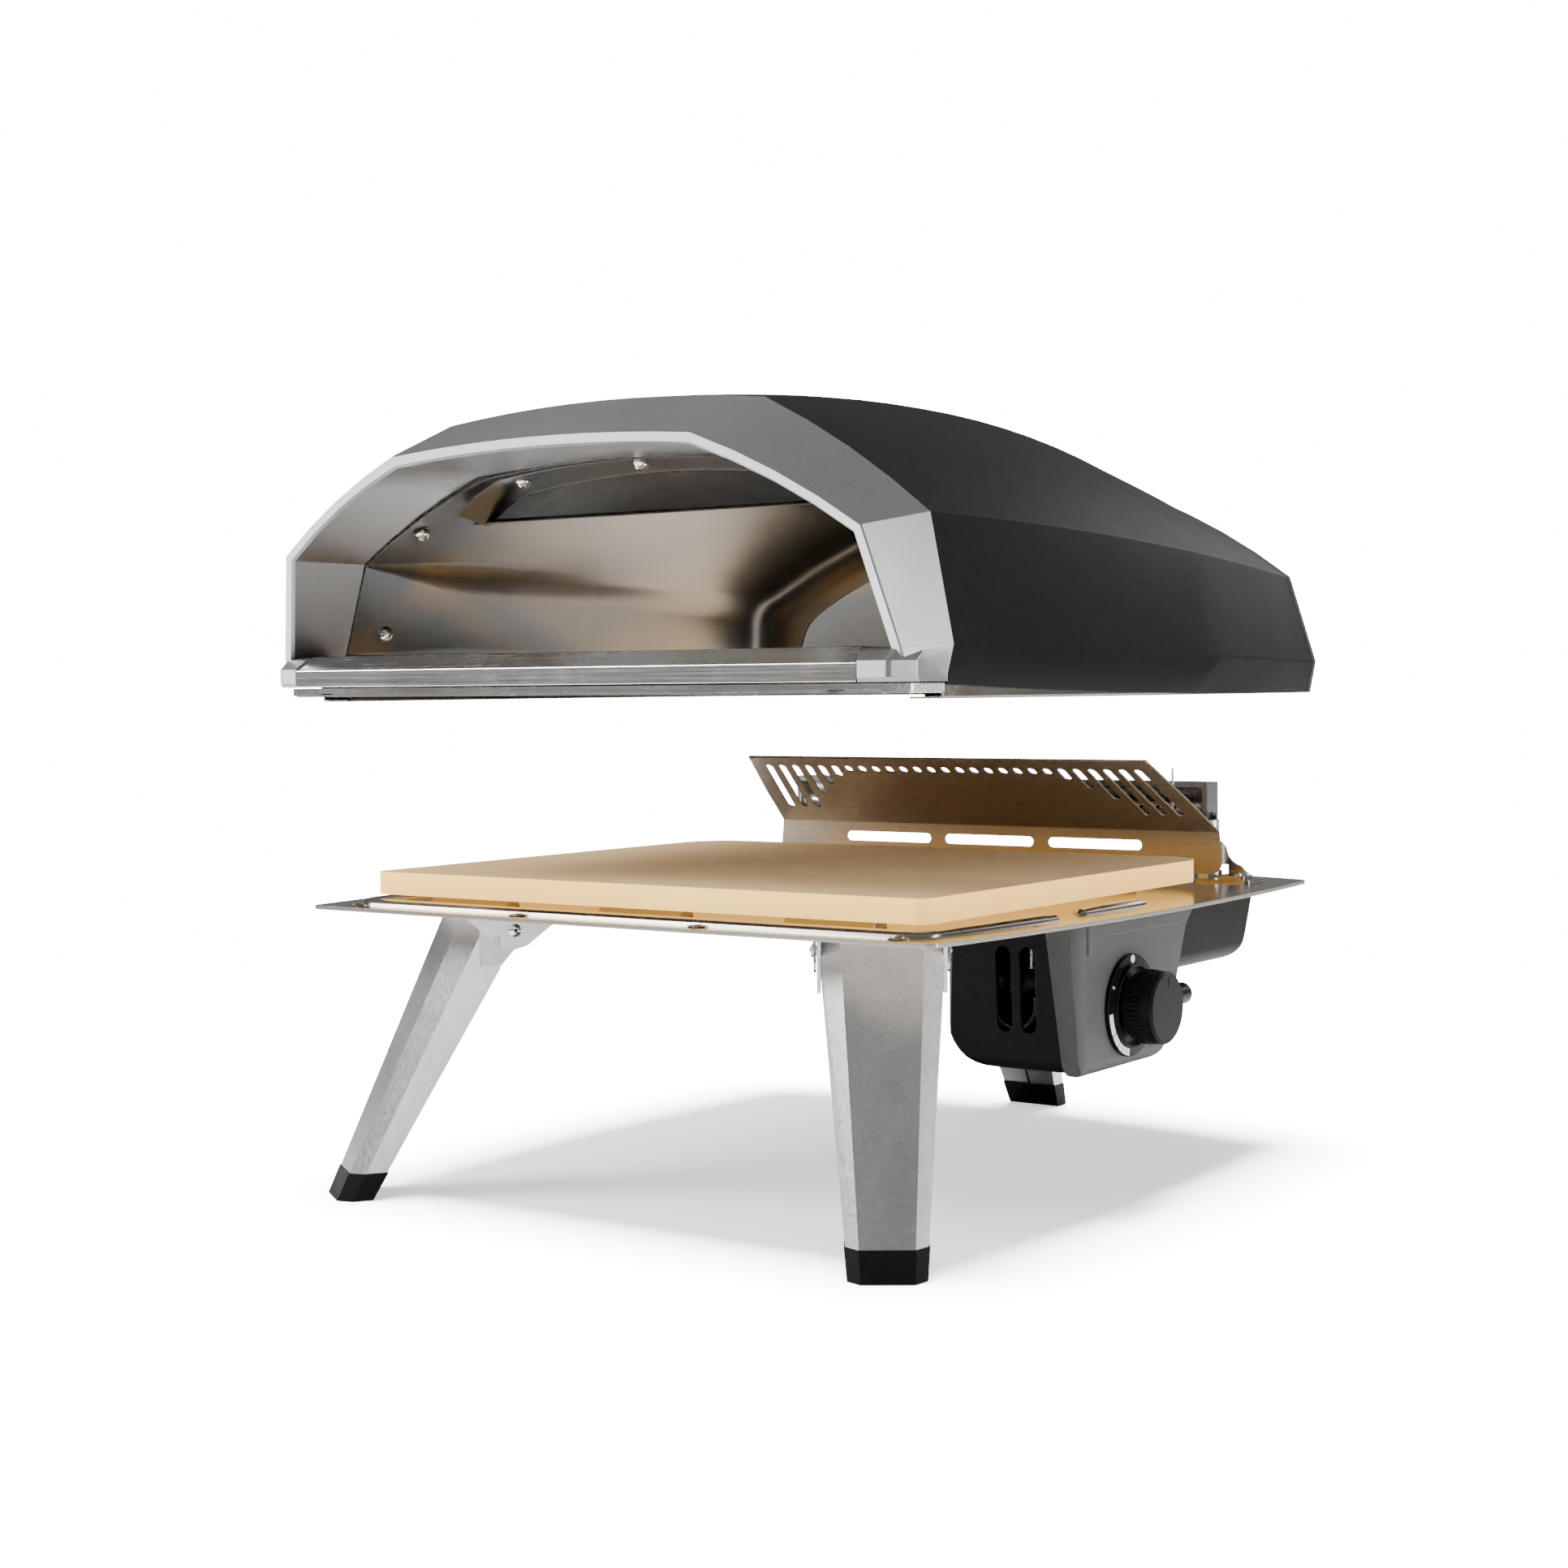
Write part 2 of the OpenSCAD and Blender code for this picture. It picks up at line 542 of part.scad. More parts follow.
mark_w = (dial_d - collar_d) / 2 - 1.4;
mark_h = 0.3;
// A curved bar between two angles around the dial
module dial_bar(a0, a1) {
    steps = 6;
    linear_extrude(mark_h) polygon([
        for (k = [0 : steps]) let (a = lerp(a0, a1, k / steps)) (mark_r + mark_w / 2) * [cos(a), sin(a)],
        for (k = [steps : -1 : 0]) let (a = lerp(a0, a1, k / steps)) (mark_r - mark_w / 2) * [cos(a), sin(a)]]);
}
// Flame marks around the dial, in degrees from its top towards the front
flame_bars = [[95, 121], [123, 139], [141, 149], [151, 157], [159, 164], [166, 170]];
module dial_marks() {
    color("white") placed() translate([cover_x + dial_t, dial_y, dial_z]) rotate([0, 90, 0]) {
        for (a = flame_bars) dial_bar(180 + a[0], 180 + a[1]);
        rotate(180) translate([mark_r, 0, 0]) cylinder(d = mark_w + 0.6, h = mark_h);
        rotate(180 + 62) translate([mark_r, 0, 0]) linear_extrude(mark_h)
            polygon([[2.4, 0.6], [-0.3, -1.2], [-0.1, 0.2], [-2.4, -0.6], [0.3, 1.2], [0.1, -0.2]]);
    }
}
module housing_screws() {
    color("#111111") placed() for (p = under_screws) translate([p.x, p.y, housing_z - cover_t])
        mirror([0, 0, 1]) dome_head(6, 1);
}
valve_x = housing_right - 42;
neck_end = cover_x + 1;
collar_od = 9;
collar_l = 5;
collar_x = neck_end - 0.6 - collar_l;
jet_z = dial_z + 11;
jet_y = dial_y - 6;
module gas_valve() {
    color("darkgray") placed() {
        difference() {
            translate([0, dial_y, dial_z]) rotate([0, 90, 0]) union() {
                translate([0, 0, valve_x]) cylinder(d = 26, h = 30);
                translate([0, 0, valve_x + 30]) cylinder(d = hub_d - 0.6, h = neck_end - valve_x - 30);
            }
            translate([0, dial_y, dial_z]) rotate([0, 90, 0]) {
                translate([0, 0, valve_x + 12]) cylinder(d = stem_d + 2 * pin_gap, h = 60);
                translate([0, 0, collar_x - push_travel - 0.5]) cylinder(d = collar_od + 2 * pin_gap, h = 60);
            }
        }
        translate([valve_x - 34, jet_y, jet_z]) rotate([0, 90, 0]) cylinder(d = 18, h = 35);
        translate([valve_x - 44, jet_y, jet_z]) rotate([0, 90, 0]) cylinder(d1 = 7, d2 = 14, h = 10);
        translate([valve_x - 46, jet_y, jet_z]) rotate([0, 90, 0]) cylinder(d = 9, h = 2.5);
        translate([inlet_x, dial_y + 10, inlet_z]) rotate([-90, 0, 0]) cylinder(d = 12, h = 14);
    }
}
module stem_collar() {
    color("silver") placed() translate([collar_x, dial_y, dial_z]) rotate([0, 90, 0]) difference() {
        cylinder(d = collar_od, h = collar_l);
        translate([0, 0, -1]) cylinder(d = stem_d + 2 * pin_gap, h = collar_l + 2);
    }
}
module gas_inlet() {
    color("#0c0c0c") placed() translate([inlet_x, 0, inlet_z]) rotate([-90, 0, 0]) {
        translate([0, 0, dial_y + 24]) cylinder(d = inlet_d - 2 - 2 * pin_gap, h = inlet_end_y - dial_y - 26);
        translate([0, 0, housing_back + 16]) cylinder(d = inlet_d + 3, h = 7, $fn = 6);
        translate([0, 0, housing_back + 22]) cylinder(d = inlet_d, h = inlet_end_y - housing_back - 23.5);
        translate([0, 0, inlet_end_y - 1.5]) cylinder(d1 = inlet_d, d2 = inlet_d - 3, h = 1.5);
    }
}
feed_d = 8;
feed_x = valve_x - 22;
feed_z = jet_z + 26;
module gas_feed_pipe() {
    color("silver") placed() {
        translate([feed_x, jet_y, jet_z + 9]) cylinder(d = feed_d, h = feed_z - jet_z - 9);
        translate([feed_x, jet_y, feed_z]) sphere(d = feed_d, $fn = 24);
        translate([feed_x, jet_y, feed_z]) rotate([-90, 0, 0]) cylinder(d = feed_d, h = 140);
        translate([feed_x, jet_y + 134, feed_z]) rotate([-90, 0, 0])
            cylinder(d = 15, h = burner_y - jet_y - 134 - 70);
        translate([pipe_x, burner_y, tray_h - 12]) cylinder(d = pipe_d, h = box_z - tray_h + 12);
        translate([pipe_x, burner_y, box_z]) cylinder(d = pipe_d - 4 - 2 * pin_gap,
            h = tube_z - box_z - burner_od / 2);
    }
}
module igniter_module() {
    color("#2a2a2a") placed() translate([housing_x + 14, housing_back - 30, housing_z + 20]) {
        cube([22, 28, 34]);
        translate([11, 14, 34]) cylinder(d = 6, h = 6);
    }
}
lead_d = 2.4;
module igniter_lead() {
    color("white") placed() translate([housing_x + 20, housing_y + 50, dial_z - 4]) rotate([90, 0, 0]) {
        rotate(180) rotate_extrude(angle = 180, $fn = 48) translate([15, 0]) circle(d = lead_d, $fn = 16);
        for (s = [-1, 1]) translate([s * 15, 0, 0]) rotate([-90, 0, 0]) cylinder(d = lead_d, h = 6, $fn = 16);
    }
}
stem_l = knob_x + 12 - valve_x - 13 - push_travel;
module valve_stem() {
    color("silver") placed() translate([knob_x + 12 - stem_l, dial_y, dial_z]) rotate([0, 90, 0])
        cylinder(d = stem_d, h = stem_l);
}

// --- Control knob ---
knurls = 48;
module control_knob() {
    color("#1a1a1a") placed() translate([knob_x, dial_y, dial_z]) rotate([0, 90, 0]) difference() {
        union() {
            cylinder(d = knob_d - 5, h = 6);
            difference() {
                translate([0, 0, 5]) cylinder(d = knob_d, h = 7);
                for (k = [1 : knurls]) rotate(k * 360 / knurls) translate([knob_d / 2 + 0.2, 0, 4])
                    rotate(45) translate([-0.7, -0.7, 0]) cube([1.4, 1.4, 10]);
            }
            translate([0, 0, 12]) cylinder(d = knob_d - 1.2, h = knob_l - 13.5);
            translate([0, 0, knob_l - 1.5]) cylinder(d1 = knob_d - 1.2, d2 = knob_d - 4.2, h = 1.5);
        }
        translate([0, 0, -1]) cylinder(d = stem_d, h = 13);
        translate([-knob_d / 2 + 4, -0.8, knob_l - 0.7]) cube([7, 1.6, 2]);
    }
}
module knob_insert() {
    color("#303030") placed() translate([knob_x + knob_l - 0.7, dial_y, dial_z]) rotate([0, 90, 0])
        translate([-knob_d / 2 + 4, -0.8, 0]) cube([7, 1.6, 0.4]);
}

// --- Folding legs ---
leg_t = 1.5;
leg_front = 35.5;
leg_gap = 2;
rear_slim = 2.4;
ear_t = 2.4;
pivot_z = tray_h - pivot_drop;
ear_r = 8.5;
bracket_t = 1.5;
bracket_in = leg_face_top / 2 + leg_bevel_top + 1.8;
function leg_tan(pin) = (pin + foot_half_d - leg_front) / pivot_z;
// A leg's section at a height f of its pivot, moved inward by g: from one edge of the rear slit, round the
// front face, to the other edge, as points in space
function leg_ring(f, pin, g) = let (
    s = pin + foot_half_d - f * pivot_z * leg_tan(pin),
    a = lerp(pin == rear_pivot_in ? leg_face_foot - rear_slim : leg_face_foot, leg_face_top, f) / 2,
    b = lerp(leg_bevel_foot, leg_bevel_top, f), e = lerp(8.5, 14, f), d = lerp(12.5, 27, f), q = s - e - d,
    half = [[leg_gap / 2, q + g], [a + b - g, q + g], [a + b - g, s - e - 0.4 * g], [a - 0.4 * g, s - g]])
    [for (p = half) [p.x, -p.y, (f - 1) * pivot_z], for (k = [3 : -1 : 0])
        [-half[k].x, -half[k].y, (f - 1) * pivot_z]];
top_f = (tray_h - 2.5) / pivot_z;
sole_f = 4 / pivot_z;
open_z = -24;
module at_leg(x, y, turn, pin) {
    placed() translate([x, y, pivot_z]) rotate(turn) translate([0, pin, 0]) children();
}
module at_left() { at_leg(-foot_x, -foot_y, -leg_splay, pivot_in) children(); }
module at_right() { at_leg(foot_x, -foot_y, leg_splay, pivot_in) children(); }
module at_rear() { at_leg(0, rear_foot_y, 180, rear_pivot_in) children(); }
module leg_shape(pin) {
    wide = leg_face_top + 2 * leg_bevel_top;
    difference() {
        union() {
            difference() {
                arch_loft([leg_ring(sole_f, pin, 0), leg_ring(top_f, pin, 0)],
                    [leg_ring(sole_f, pin, leg_t), leg_ring(top_f, pin, leg_t)]);
                sideways_mid(2 * wide) polygon([[20, open_z - 3], [-9, open_z], [-14, open_z + 12], [-14, 30],
                    [60, 30], [60, open_z - 3]]);
            }
            for (s = [-1, 1]) translate([s * (bracket_in - 0.5 - ear_t / 2) - ear_t / 2, 0, 0])
                sideways(ear_t) difference() {
                    union() {
                        circle(r = ear_r);
                        polygon([[-24, 8], [0, ear_r], [4, -8], [-9, open_z + 1], [-22, open_z + 1]]);
                    }
                    circle(d = bolt_d + 2 * pin_gap);
                }
        }
    }
}
module sideways_mid(t) { translate([-t / 2, 0, 0]) sideways(t) children(); }
// The foot cap: a solid sole with walls round the leg's end
module cap_shape(pin) {
    cap_f = cap_h / pivot_z;
    difference() {
        hull() {
            cap_slice(0, pin);
            cap_slice(cap_f, pin);
        }
        arch_loft([leg_ring(sole_f, pin, 0), leg_ring(0.5, pin, 0)],
            [leg_ring(sole_f, pin, leg_t), leg_ring(0.5, pin, leg_t)]);
    }
}
module cap_slice(f, pin) {
    ring = leg_ring(f, pin, -0.7);
    translate([0, 0, (f - 1) * pivot_z - (f > 0 ? 0.1 : 0)]) linear_extrude(0.1)
        polygon([for (i = [1 : 6]) [ring[i].x, ring[i].y]]);
}
module bracket_shape() {
    top = plate_under - pivot_z;
    difference() {
        union() {
            for (s = [-1, 1]) translate([s * (bracket_in + bracket_t / 2) - bracket_t / 2, 0, 0])
                sideways(bracket_t) polygon(rounded([[-39, top], [41, top], [8, -10.5], [-2.5, -13],
                    [-9.8, -10.5], [-10.2, -2.2],
                    [-13.4, -2.2], [-15.5, -6.3]], [0, 0, 5, 4, 1, 1.4, 1.4, 1]));
            translate([-bracket_in, -38, top - bracket_t]) cube([2 * bracket_in, 78, bracket_t]);
        }
        rotate([0, 90, 0]) cylinder(d = bolt_d, h = 3 * bracket_in, center = true);
    }
}
module bolt_shape() {
    for (s = [-1, 1]) scale([s, 1, 1]) translate([bracket_in - 4.4, 0, 0]) rotate([0, 90, 0]) {
        cylinder(d = bolt_d, h = 4.4 + bracket_t);
        translate([0, 0, 4.4 + bracket_t]) dome_head(bolt_d + 3, 2.4);
    }
}
module leg_left() { color("lightgray") at_left() leg_shape(pivot_in); }
module leg_right() { color("lightgray") at_right() leg_shape(pivot_in); }
module leg_rear() { color("lightgray") at_rear() leg_shape(rear_pivot_in); }
module foot_cap_left() { color("#141414") at_left() cap_shape(pivot_in); }
module foot_cap_right() { color("#141414") at_right() cap_shape(pivot_in); }
module foot_cap_rear() { color("#141414") at_rear() cap_shape(rear_pivot_in); }
module leg_bracket_left() { color("silver") at_left() bracket_shape(); }
module leg_bracket_right() { color("silver") at_right() bracket_shape(); }
module leg_bracket_rear() { color("silver") at_rear() bracket_shape(); }
module pivot_bolt_left() { color("white") at_left() bolt_shape(); }
module pivot_bolt_right() { color("white") at_right() bolt_shape(); }
module pivot_bolt_rear() { color("white") at_rear() bolt_shape(); }

// --- Shell, drawn raised above its seat ---
rows = 14;
seam_y = -12;
seam_lean = 0.07;
liner_z = 1.2;
liner_side = wall_gap + shell_t;
liner_short = 9;
function liner_top(t) = lerp(roof_gap, wall_gap, t) + shell_t;
liner_r = 30;
// The liner's sections, its inner face moved in by g: straight walls, then a rounded end towards the back
function liner_rows(g) = [
    for (k = [0 : rows]) let (t = k / rows) station(t, liner_side + g, liner_top(t) + g, seam_y + 0.3,
        liner_short + liner_r, 0, seam_lean, lerp(3, 40, min(1, 4 * t))),
    for (a = [18 : 18 : 90]) let (r = liner_r - g, q = g + r * (1 - cos(a))) station(1, liner_side + q,
        liner_top(1) + q, seam_y, liner_short + g + r * (1 - sin(a)), 0, 0, 40)];
module outer_shell() {
    color("#2b2b2b") on_shell() arch_loft(
        [for (k = [0 : rows]) station(k / rows, 0, 0, bezel_back_y + 0.2, 0, lift(k / rows))],
        [for (k = [0 : rows]) station(k / rows, shell_t, shell_t, bezel_back_y + 0.2, 0, lift(k / rows))]);
}
// How far the foot's flange reaches in from the tray's sides at the mouth
mouth_side = 22;
// The flange that closes the insulation's space along the shell's foot and rests on the tray
module shell_foot() {
    color("lightgray") on_shell() {
        linear_extrude(liner_z) difference() {
            polygon(tray_outline(2.4));
            polygon(tray_outline(liner_side + 1));
            translate([-400, -100, 0]) square([800, 100 + bezel_back_y + 0.2]);
            translate([mouth_side - tray_front_w / 2, -100]) square([tray_front_w - 2 * mouth_side,
                100 + tray_front_y + liner_side + 3]);
        }
        translate([0, 0, liner_z]) linear_extrude(foot_lift - liner_z) difference() {
            polygon(tray_outline(shell_t + 0.6));
            polygon(tray_outline(shell_t + 2));
            translate([-400, -100, 0]) square([800, 100 + bezel_back_y + 0.2]);
            translate([-400, rear_corner_y - 30, 0]) square([800, 200]);
        }
    }
}
module inner_liner() {
    color("silver") on_shell() translate([0, 0, liner_z]) arch_loft(liner_rows(0), liner_rows(sheet_t));
}
module insulation_blanket() {
    color("ivory") on_shell() translate([0, 0, liner_z + 0.3]) arch_loft(
        [for (k = [0 : rows]) station(k / rows, shell_t + 2.6, shell_t + 3, bezel_back_y + 26, 12)],
        [for (k = [0 : rows]) station(k / rows, liner_side - 1.4, liner_top(k / rows) - 2.4,
            bezel_back_y + 26, 12)]);
}
module liner_back() {
    color("silver") on_shell() translate([0, 0, liner_z]) arch_plate(softened(section(rear_corner_y, 1,
        liner_side + liner_r - 1, liner_top(1) + liner_r - 1), 40), sheet_t, -liner_short);
}
module rear_panel() {
    color("#333333") on_shell() arch_plate(section(rear_corner_y, 1, 0, 0), 1.5, 0);
}
function rim(inset, out) = [for (p = section(rear_corner_y, 1, inset, inset))
    [p.x, rear_y(p.x, p.y) + out, p.y]];
module rear_trim() {
    color("#5a5a5a") on_shell() arch_loft([rim(1, 1.5), rim(-0.4, 6), rim(0.6, 7.5)],
        [rim(5, 1.5), rim(5, 6), rim(4.4, 7.5)]);
}
module rear_screws() {
    color("#111111") on_shell() for (x = [-1, 1] * 0.78 * corner_w, z = [30])
        translate([x, rear_y(x, z) + 1.5, z]) rotate([-90, 0, 0]) dome_head(8, 2);
}

// --- Bezel, sill and front rail ---
foot_z = 9.5;
block_z = 28;
sill_y = -sill_reach;
sill_half_w = 215.3;
sill_top = foot_z + sill_face_h + sill_rise;
reveal_x = 208.7;
// The bezel's front edge, moved inward by g
function bezel_ring(g, out) = [for (p = arch([half_w(bezel_back_y) - 5 - g, foot_z],
    [half_w(bezel_back_y) - 5 - g, block_z],
    [half_w(bezel_back_y) - crease_tuck - 11.9 - 0.86 * g, crease_h - 8.8 - 0.5 * g],
    [roof_half_w - 7.8 - 0.15 * g, roof_h - bezel_drop - g], bezel_rise)) [p.x, face_y(p.y) + out, p.y]];
function bezel_rear(g) = [for (p = section(bezel_back_y, 0, g, g, foot_z)) [p.x, bezel_back_y, p.y]];
function reveal(g) = [for (p = bezel_ring(g, 0)) [p.x, seam_y + seam_lean * p.z, p.z]];
module front_bezel() {
    w = bezel_band;
    color("gray") on_shell() {
        arch_loft([reveal(w), bezel_ring(w, 2), bezel_ring(w - 1.4, 0), bezel_ring(1.4, 0),
            bezel_ring(0, 2), bezel_rear(0)], [reveal(w - 2), bezel_ring(w - 2, 4.5), bezel_ring(w - 2.6, 3),
            bezel_ring(2.6, 3), bezel_ring(2, 4.5), bezel_rear(2)]);
        both_sides() hull() {
            translate([0, 0, foot_z]) linear_extrude(4) polygon(block(2));
            translate([0, 0, foot_z + 2.5]) linear_extrude(sill_face_h - 1.5) polygon(block(0));
            translate([0, 0, foot_z]) linear_extrude(block_z - foot_z - 1) polygon(block(7));
            translate([0, 0, foot_z]) linear_extrude(sill_top - foot_z - 0.6) polygon(block(14));
        }
    }
}
// Plan of the block at the bezel's right foot, set back at the front by g
function block(g) = rounded([[sill_half_w - 0.4 * g, sill_y + g], [sill_half_w + 18, sill_y + 3 + g],
    [half_w(bezel_back_y) - 1, min(-48 + g, bezel_back_y - 6)], [half_w(bezel_back_y) + 1, bezel_back_y],
    [reveal_x, bezel_back_y], [reveal_x, -49 + g * 0.5]], [0, 5, 5, 0, 0, 0]);
module sill_strip() {
    color("gainsboro") on_shell() intersection() {
        translate([-sill_half_w, 0, 0]) sideways(2 * sill_half_w)
            polygon([[sill_y, foot_z], [sill_y, foot_z + sill_face_h], [sill_y + 12, sill_top],
                [seam_y + 2, sill_top], [seam_y + 2, sill_top - 1.2], [sill_y + 12.8, sill_top - 1.2],
                [sill_y + 1.2, foot_z + sill_face_h - 0.6], [sill_y + 1.2, foot_z]]);
        translate([0, 0, foot_z - 1]) linear_extrude(40) polygon([for (s = [1, -1], p = s > 0
            ? [[sill_half_w - 0.5, sill_y], [reveal_x - 0.4, -49], [reveal_x - 0.4, seam_y + 4]]
            : [[reveal_x - 0.4, seam_y + 4], [reveal_x - 0.4, -49], [sill_half_w - 0.5, sill_y]])
            [s * p.x, p.y]]);
    }
}
rail_y = -60;
module rail_plan(g) {
    x = half_w(bezel_back_y);
    polygon(rounded([[15 + g - x, rail_y + g], [x - 15 - g, rail_y + g], [x - 6 - g, rail_y + 14 + g],
        [x - 1 - g, bezel_back_y], [1 + g - x, bezel_back_y], [6 + g - x, rail_y + 14 + g]],
        [7, 7, 7, 0, 0, 7]));
}
module front_rail() {
    color("gainsboro") on_shell() difference() {
        union() {
            translate([0, 0, 4]) linear_extrude(foot_z - 4.8) rail_plan(0);
            translate([0, 0, 3.2]) linear_extrude(2) rail_plan(1.5);
        }
        translate([0, 0, 4.8]) linear_extrude(foot_z) translate([0, 1, 0]) rail_plan(2);
        for (s = [-1, 1]) translate([s * 196 - 6, rail_y - 1, 3]) cube([12, 7, 2.4]);
    }
}

// --- Baffle under the roof, behind the mouth ---
baffle_y = 36;
baffle_z = 118.5;
baffle_half_w = 152;
lip_y = 6;
fold_drop = 12;
function roof_line(y, drop) = let (t = (y - bezel_back_y) / (rear_corner_y - bezel_back_y))
    [for (k = [0 : 16]) let (x = baffle_half_w * 0.94 * (1 - k / 8), r = roof_half_w - 0.31 * liner_top(t),
        over = max(abs(x) - r, 0))
        [x, y, liner_z + roof_z(t) - liner_top(t) - sheet_t - drop - over * 0.62
            + roof_crown(t) * (1 - pow(min(abs(x) / r, 1), 2))]];
// The baffle's row of points at its lower edge
function baffle_row(y, z) = [for (k = [0 : 16]) [baffle_half_w * (1 - k / 8), y, z]];
module arch_baffle() {
    b = baffle_y + sheet_t;
    color("silver") on_shell() arch_loft(
        [roof_line(lip_y, 2.8), roof_line(b, fold_drop), baffle_row(b, baffle_z - 1.2),
            baffle_row(baffle_y - 4, baffle_z - 3)],
        [roof_line(lip_y, 4.2), roof_line(baffle_y, fold_drop + 1.4), baffle_row(baffle_y, baffle_z),
            baffle_row(baffle_y - 4, baffle_z - 1.8)]);
}
// Where the liner's inner face lies on the right wall, at y and z above the shell's foot
function wall_x(y, z) = let (t = (y - bezel_back_y) / (rear_corner_y - bezel_back_y),
    side = liner_side + sheet_t, top = liner_top(t) + sheet_t, zc = crease_z(t) - 0.27 * (side + top))
    half_w(y) - side + lerp(shell_flare, -crease_tuck, (z - liner_z - flare_z(t)) / (zc - flare_z(t)));
module liner_screws() {
    color("white") on_shell() both_sides() {
        translate([wall_x(27, 45) - 1.4, 27, 45]) rotate([0, -101, 0]) dome_head(11, 4);
        translate([chamfer_x - 1.2, 12, 109.4]) rotate([0, -141, 0]) dome_head(11, 4);
    }
    color("white") on_shell() for (x = [-96, 0, 96]) let (k = 8 - round(x / baffle_half_w / 0.94 * 8),
        p = roof_line(18, 8.6)[k]) translate([x, p.y, p.z]) rotate([160, x * 0.15, 0]) dome_head(11, 3.4);
}
chamfer_x = lerp(wall_x(12, 84), roof_half_w - 10, 0.36);

base_tray();
stone_rests();
flame_guard();
guard_posts();
burner_box();
burner_tube();
burner_brackets();
burner_screws();
igniter_electrode();
flame_sensor();
gas_feed_pipe();
gas_valve();
gas_inlet();
igniter_module();
igniter_lead();
burner_housing();
control_cover();
dial_plate();
dial_marks();
housing_screws();
leg_bracket_left();
leg_bracket_right();
leg_bracket_rear();
pivot_bolt_left();
pivot_bolt_right();
pivot_bolt_rear();
baking_stone();
stem_collar();
valve_stem();
control_knob();
knob_insert();
leg_left();
leg_right();
leg_rear();
foot_cap_left();
foot_cap_right();
foot_cap_rear();
outer_shell();
shell_foot();
front_bezel();
sill_strip();
front_rail();
inner_liner();
liner_back();
insulation_blanket();
rear_panel();
rear_trim();
arch_baffle();
liner_screws();
rear_screws();
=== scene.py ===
import json
import math
import bpy
from mathutils import Matrix, Vector


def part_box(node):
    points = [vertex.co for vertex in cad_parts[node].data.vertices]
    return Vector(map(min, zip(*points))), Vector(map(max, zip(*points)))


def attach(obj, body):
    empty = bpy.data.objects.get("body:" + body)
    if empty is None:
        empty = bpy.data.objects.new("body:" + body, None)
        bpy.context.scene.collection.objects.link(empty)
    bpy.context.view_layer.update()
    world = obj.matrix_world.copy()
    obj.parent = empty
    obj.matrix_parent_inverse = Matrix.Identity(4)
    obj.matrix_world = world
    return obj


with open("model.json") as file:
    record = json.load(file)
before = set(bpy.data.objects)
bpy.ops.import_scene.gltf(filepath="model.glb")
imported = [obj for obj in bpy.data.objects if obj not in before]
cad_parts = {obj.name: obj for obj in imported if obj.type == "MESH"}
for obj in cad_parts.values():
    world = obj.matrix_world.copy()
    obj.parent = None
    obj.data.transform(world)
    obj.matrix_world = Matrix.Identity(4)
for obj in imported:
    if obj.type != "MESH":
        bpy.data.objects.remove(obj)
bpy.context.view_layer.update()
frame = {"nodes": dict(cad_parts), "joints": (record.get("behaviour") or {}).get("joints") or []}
nodes = frame["nodes"]


# ---- materials -------------------------------------------------------------
def rgb(v):
    return (v[0], v[1], v[2], 1.0)


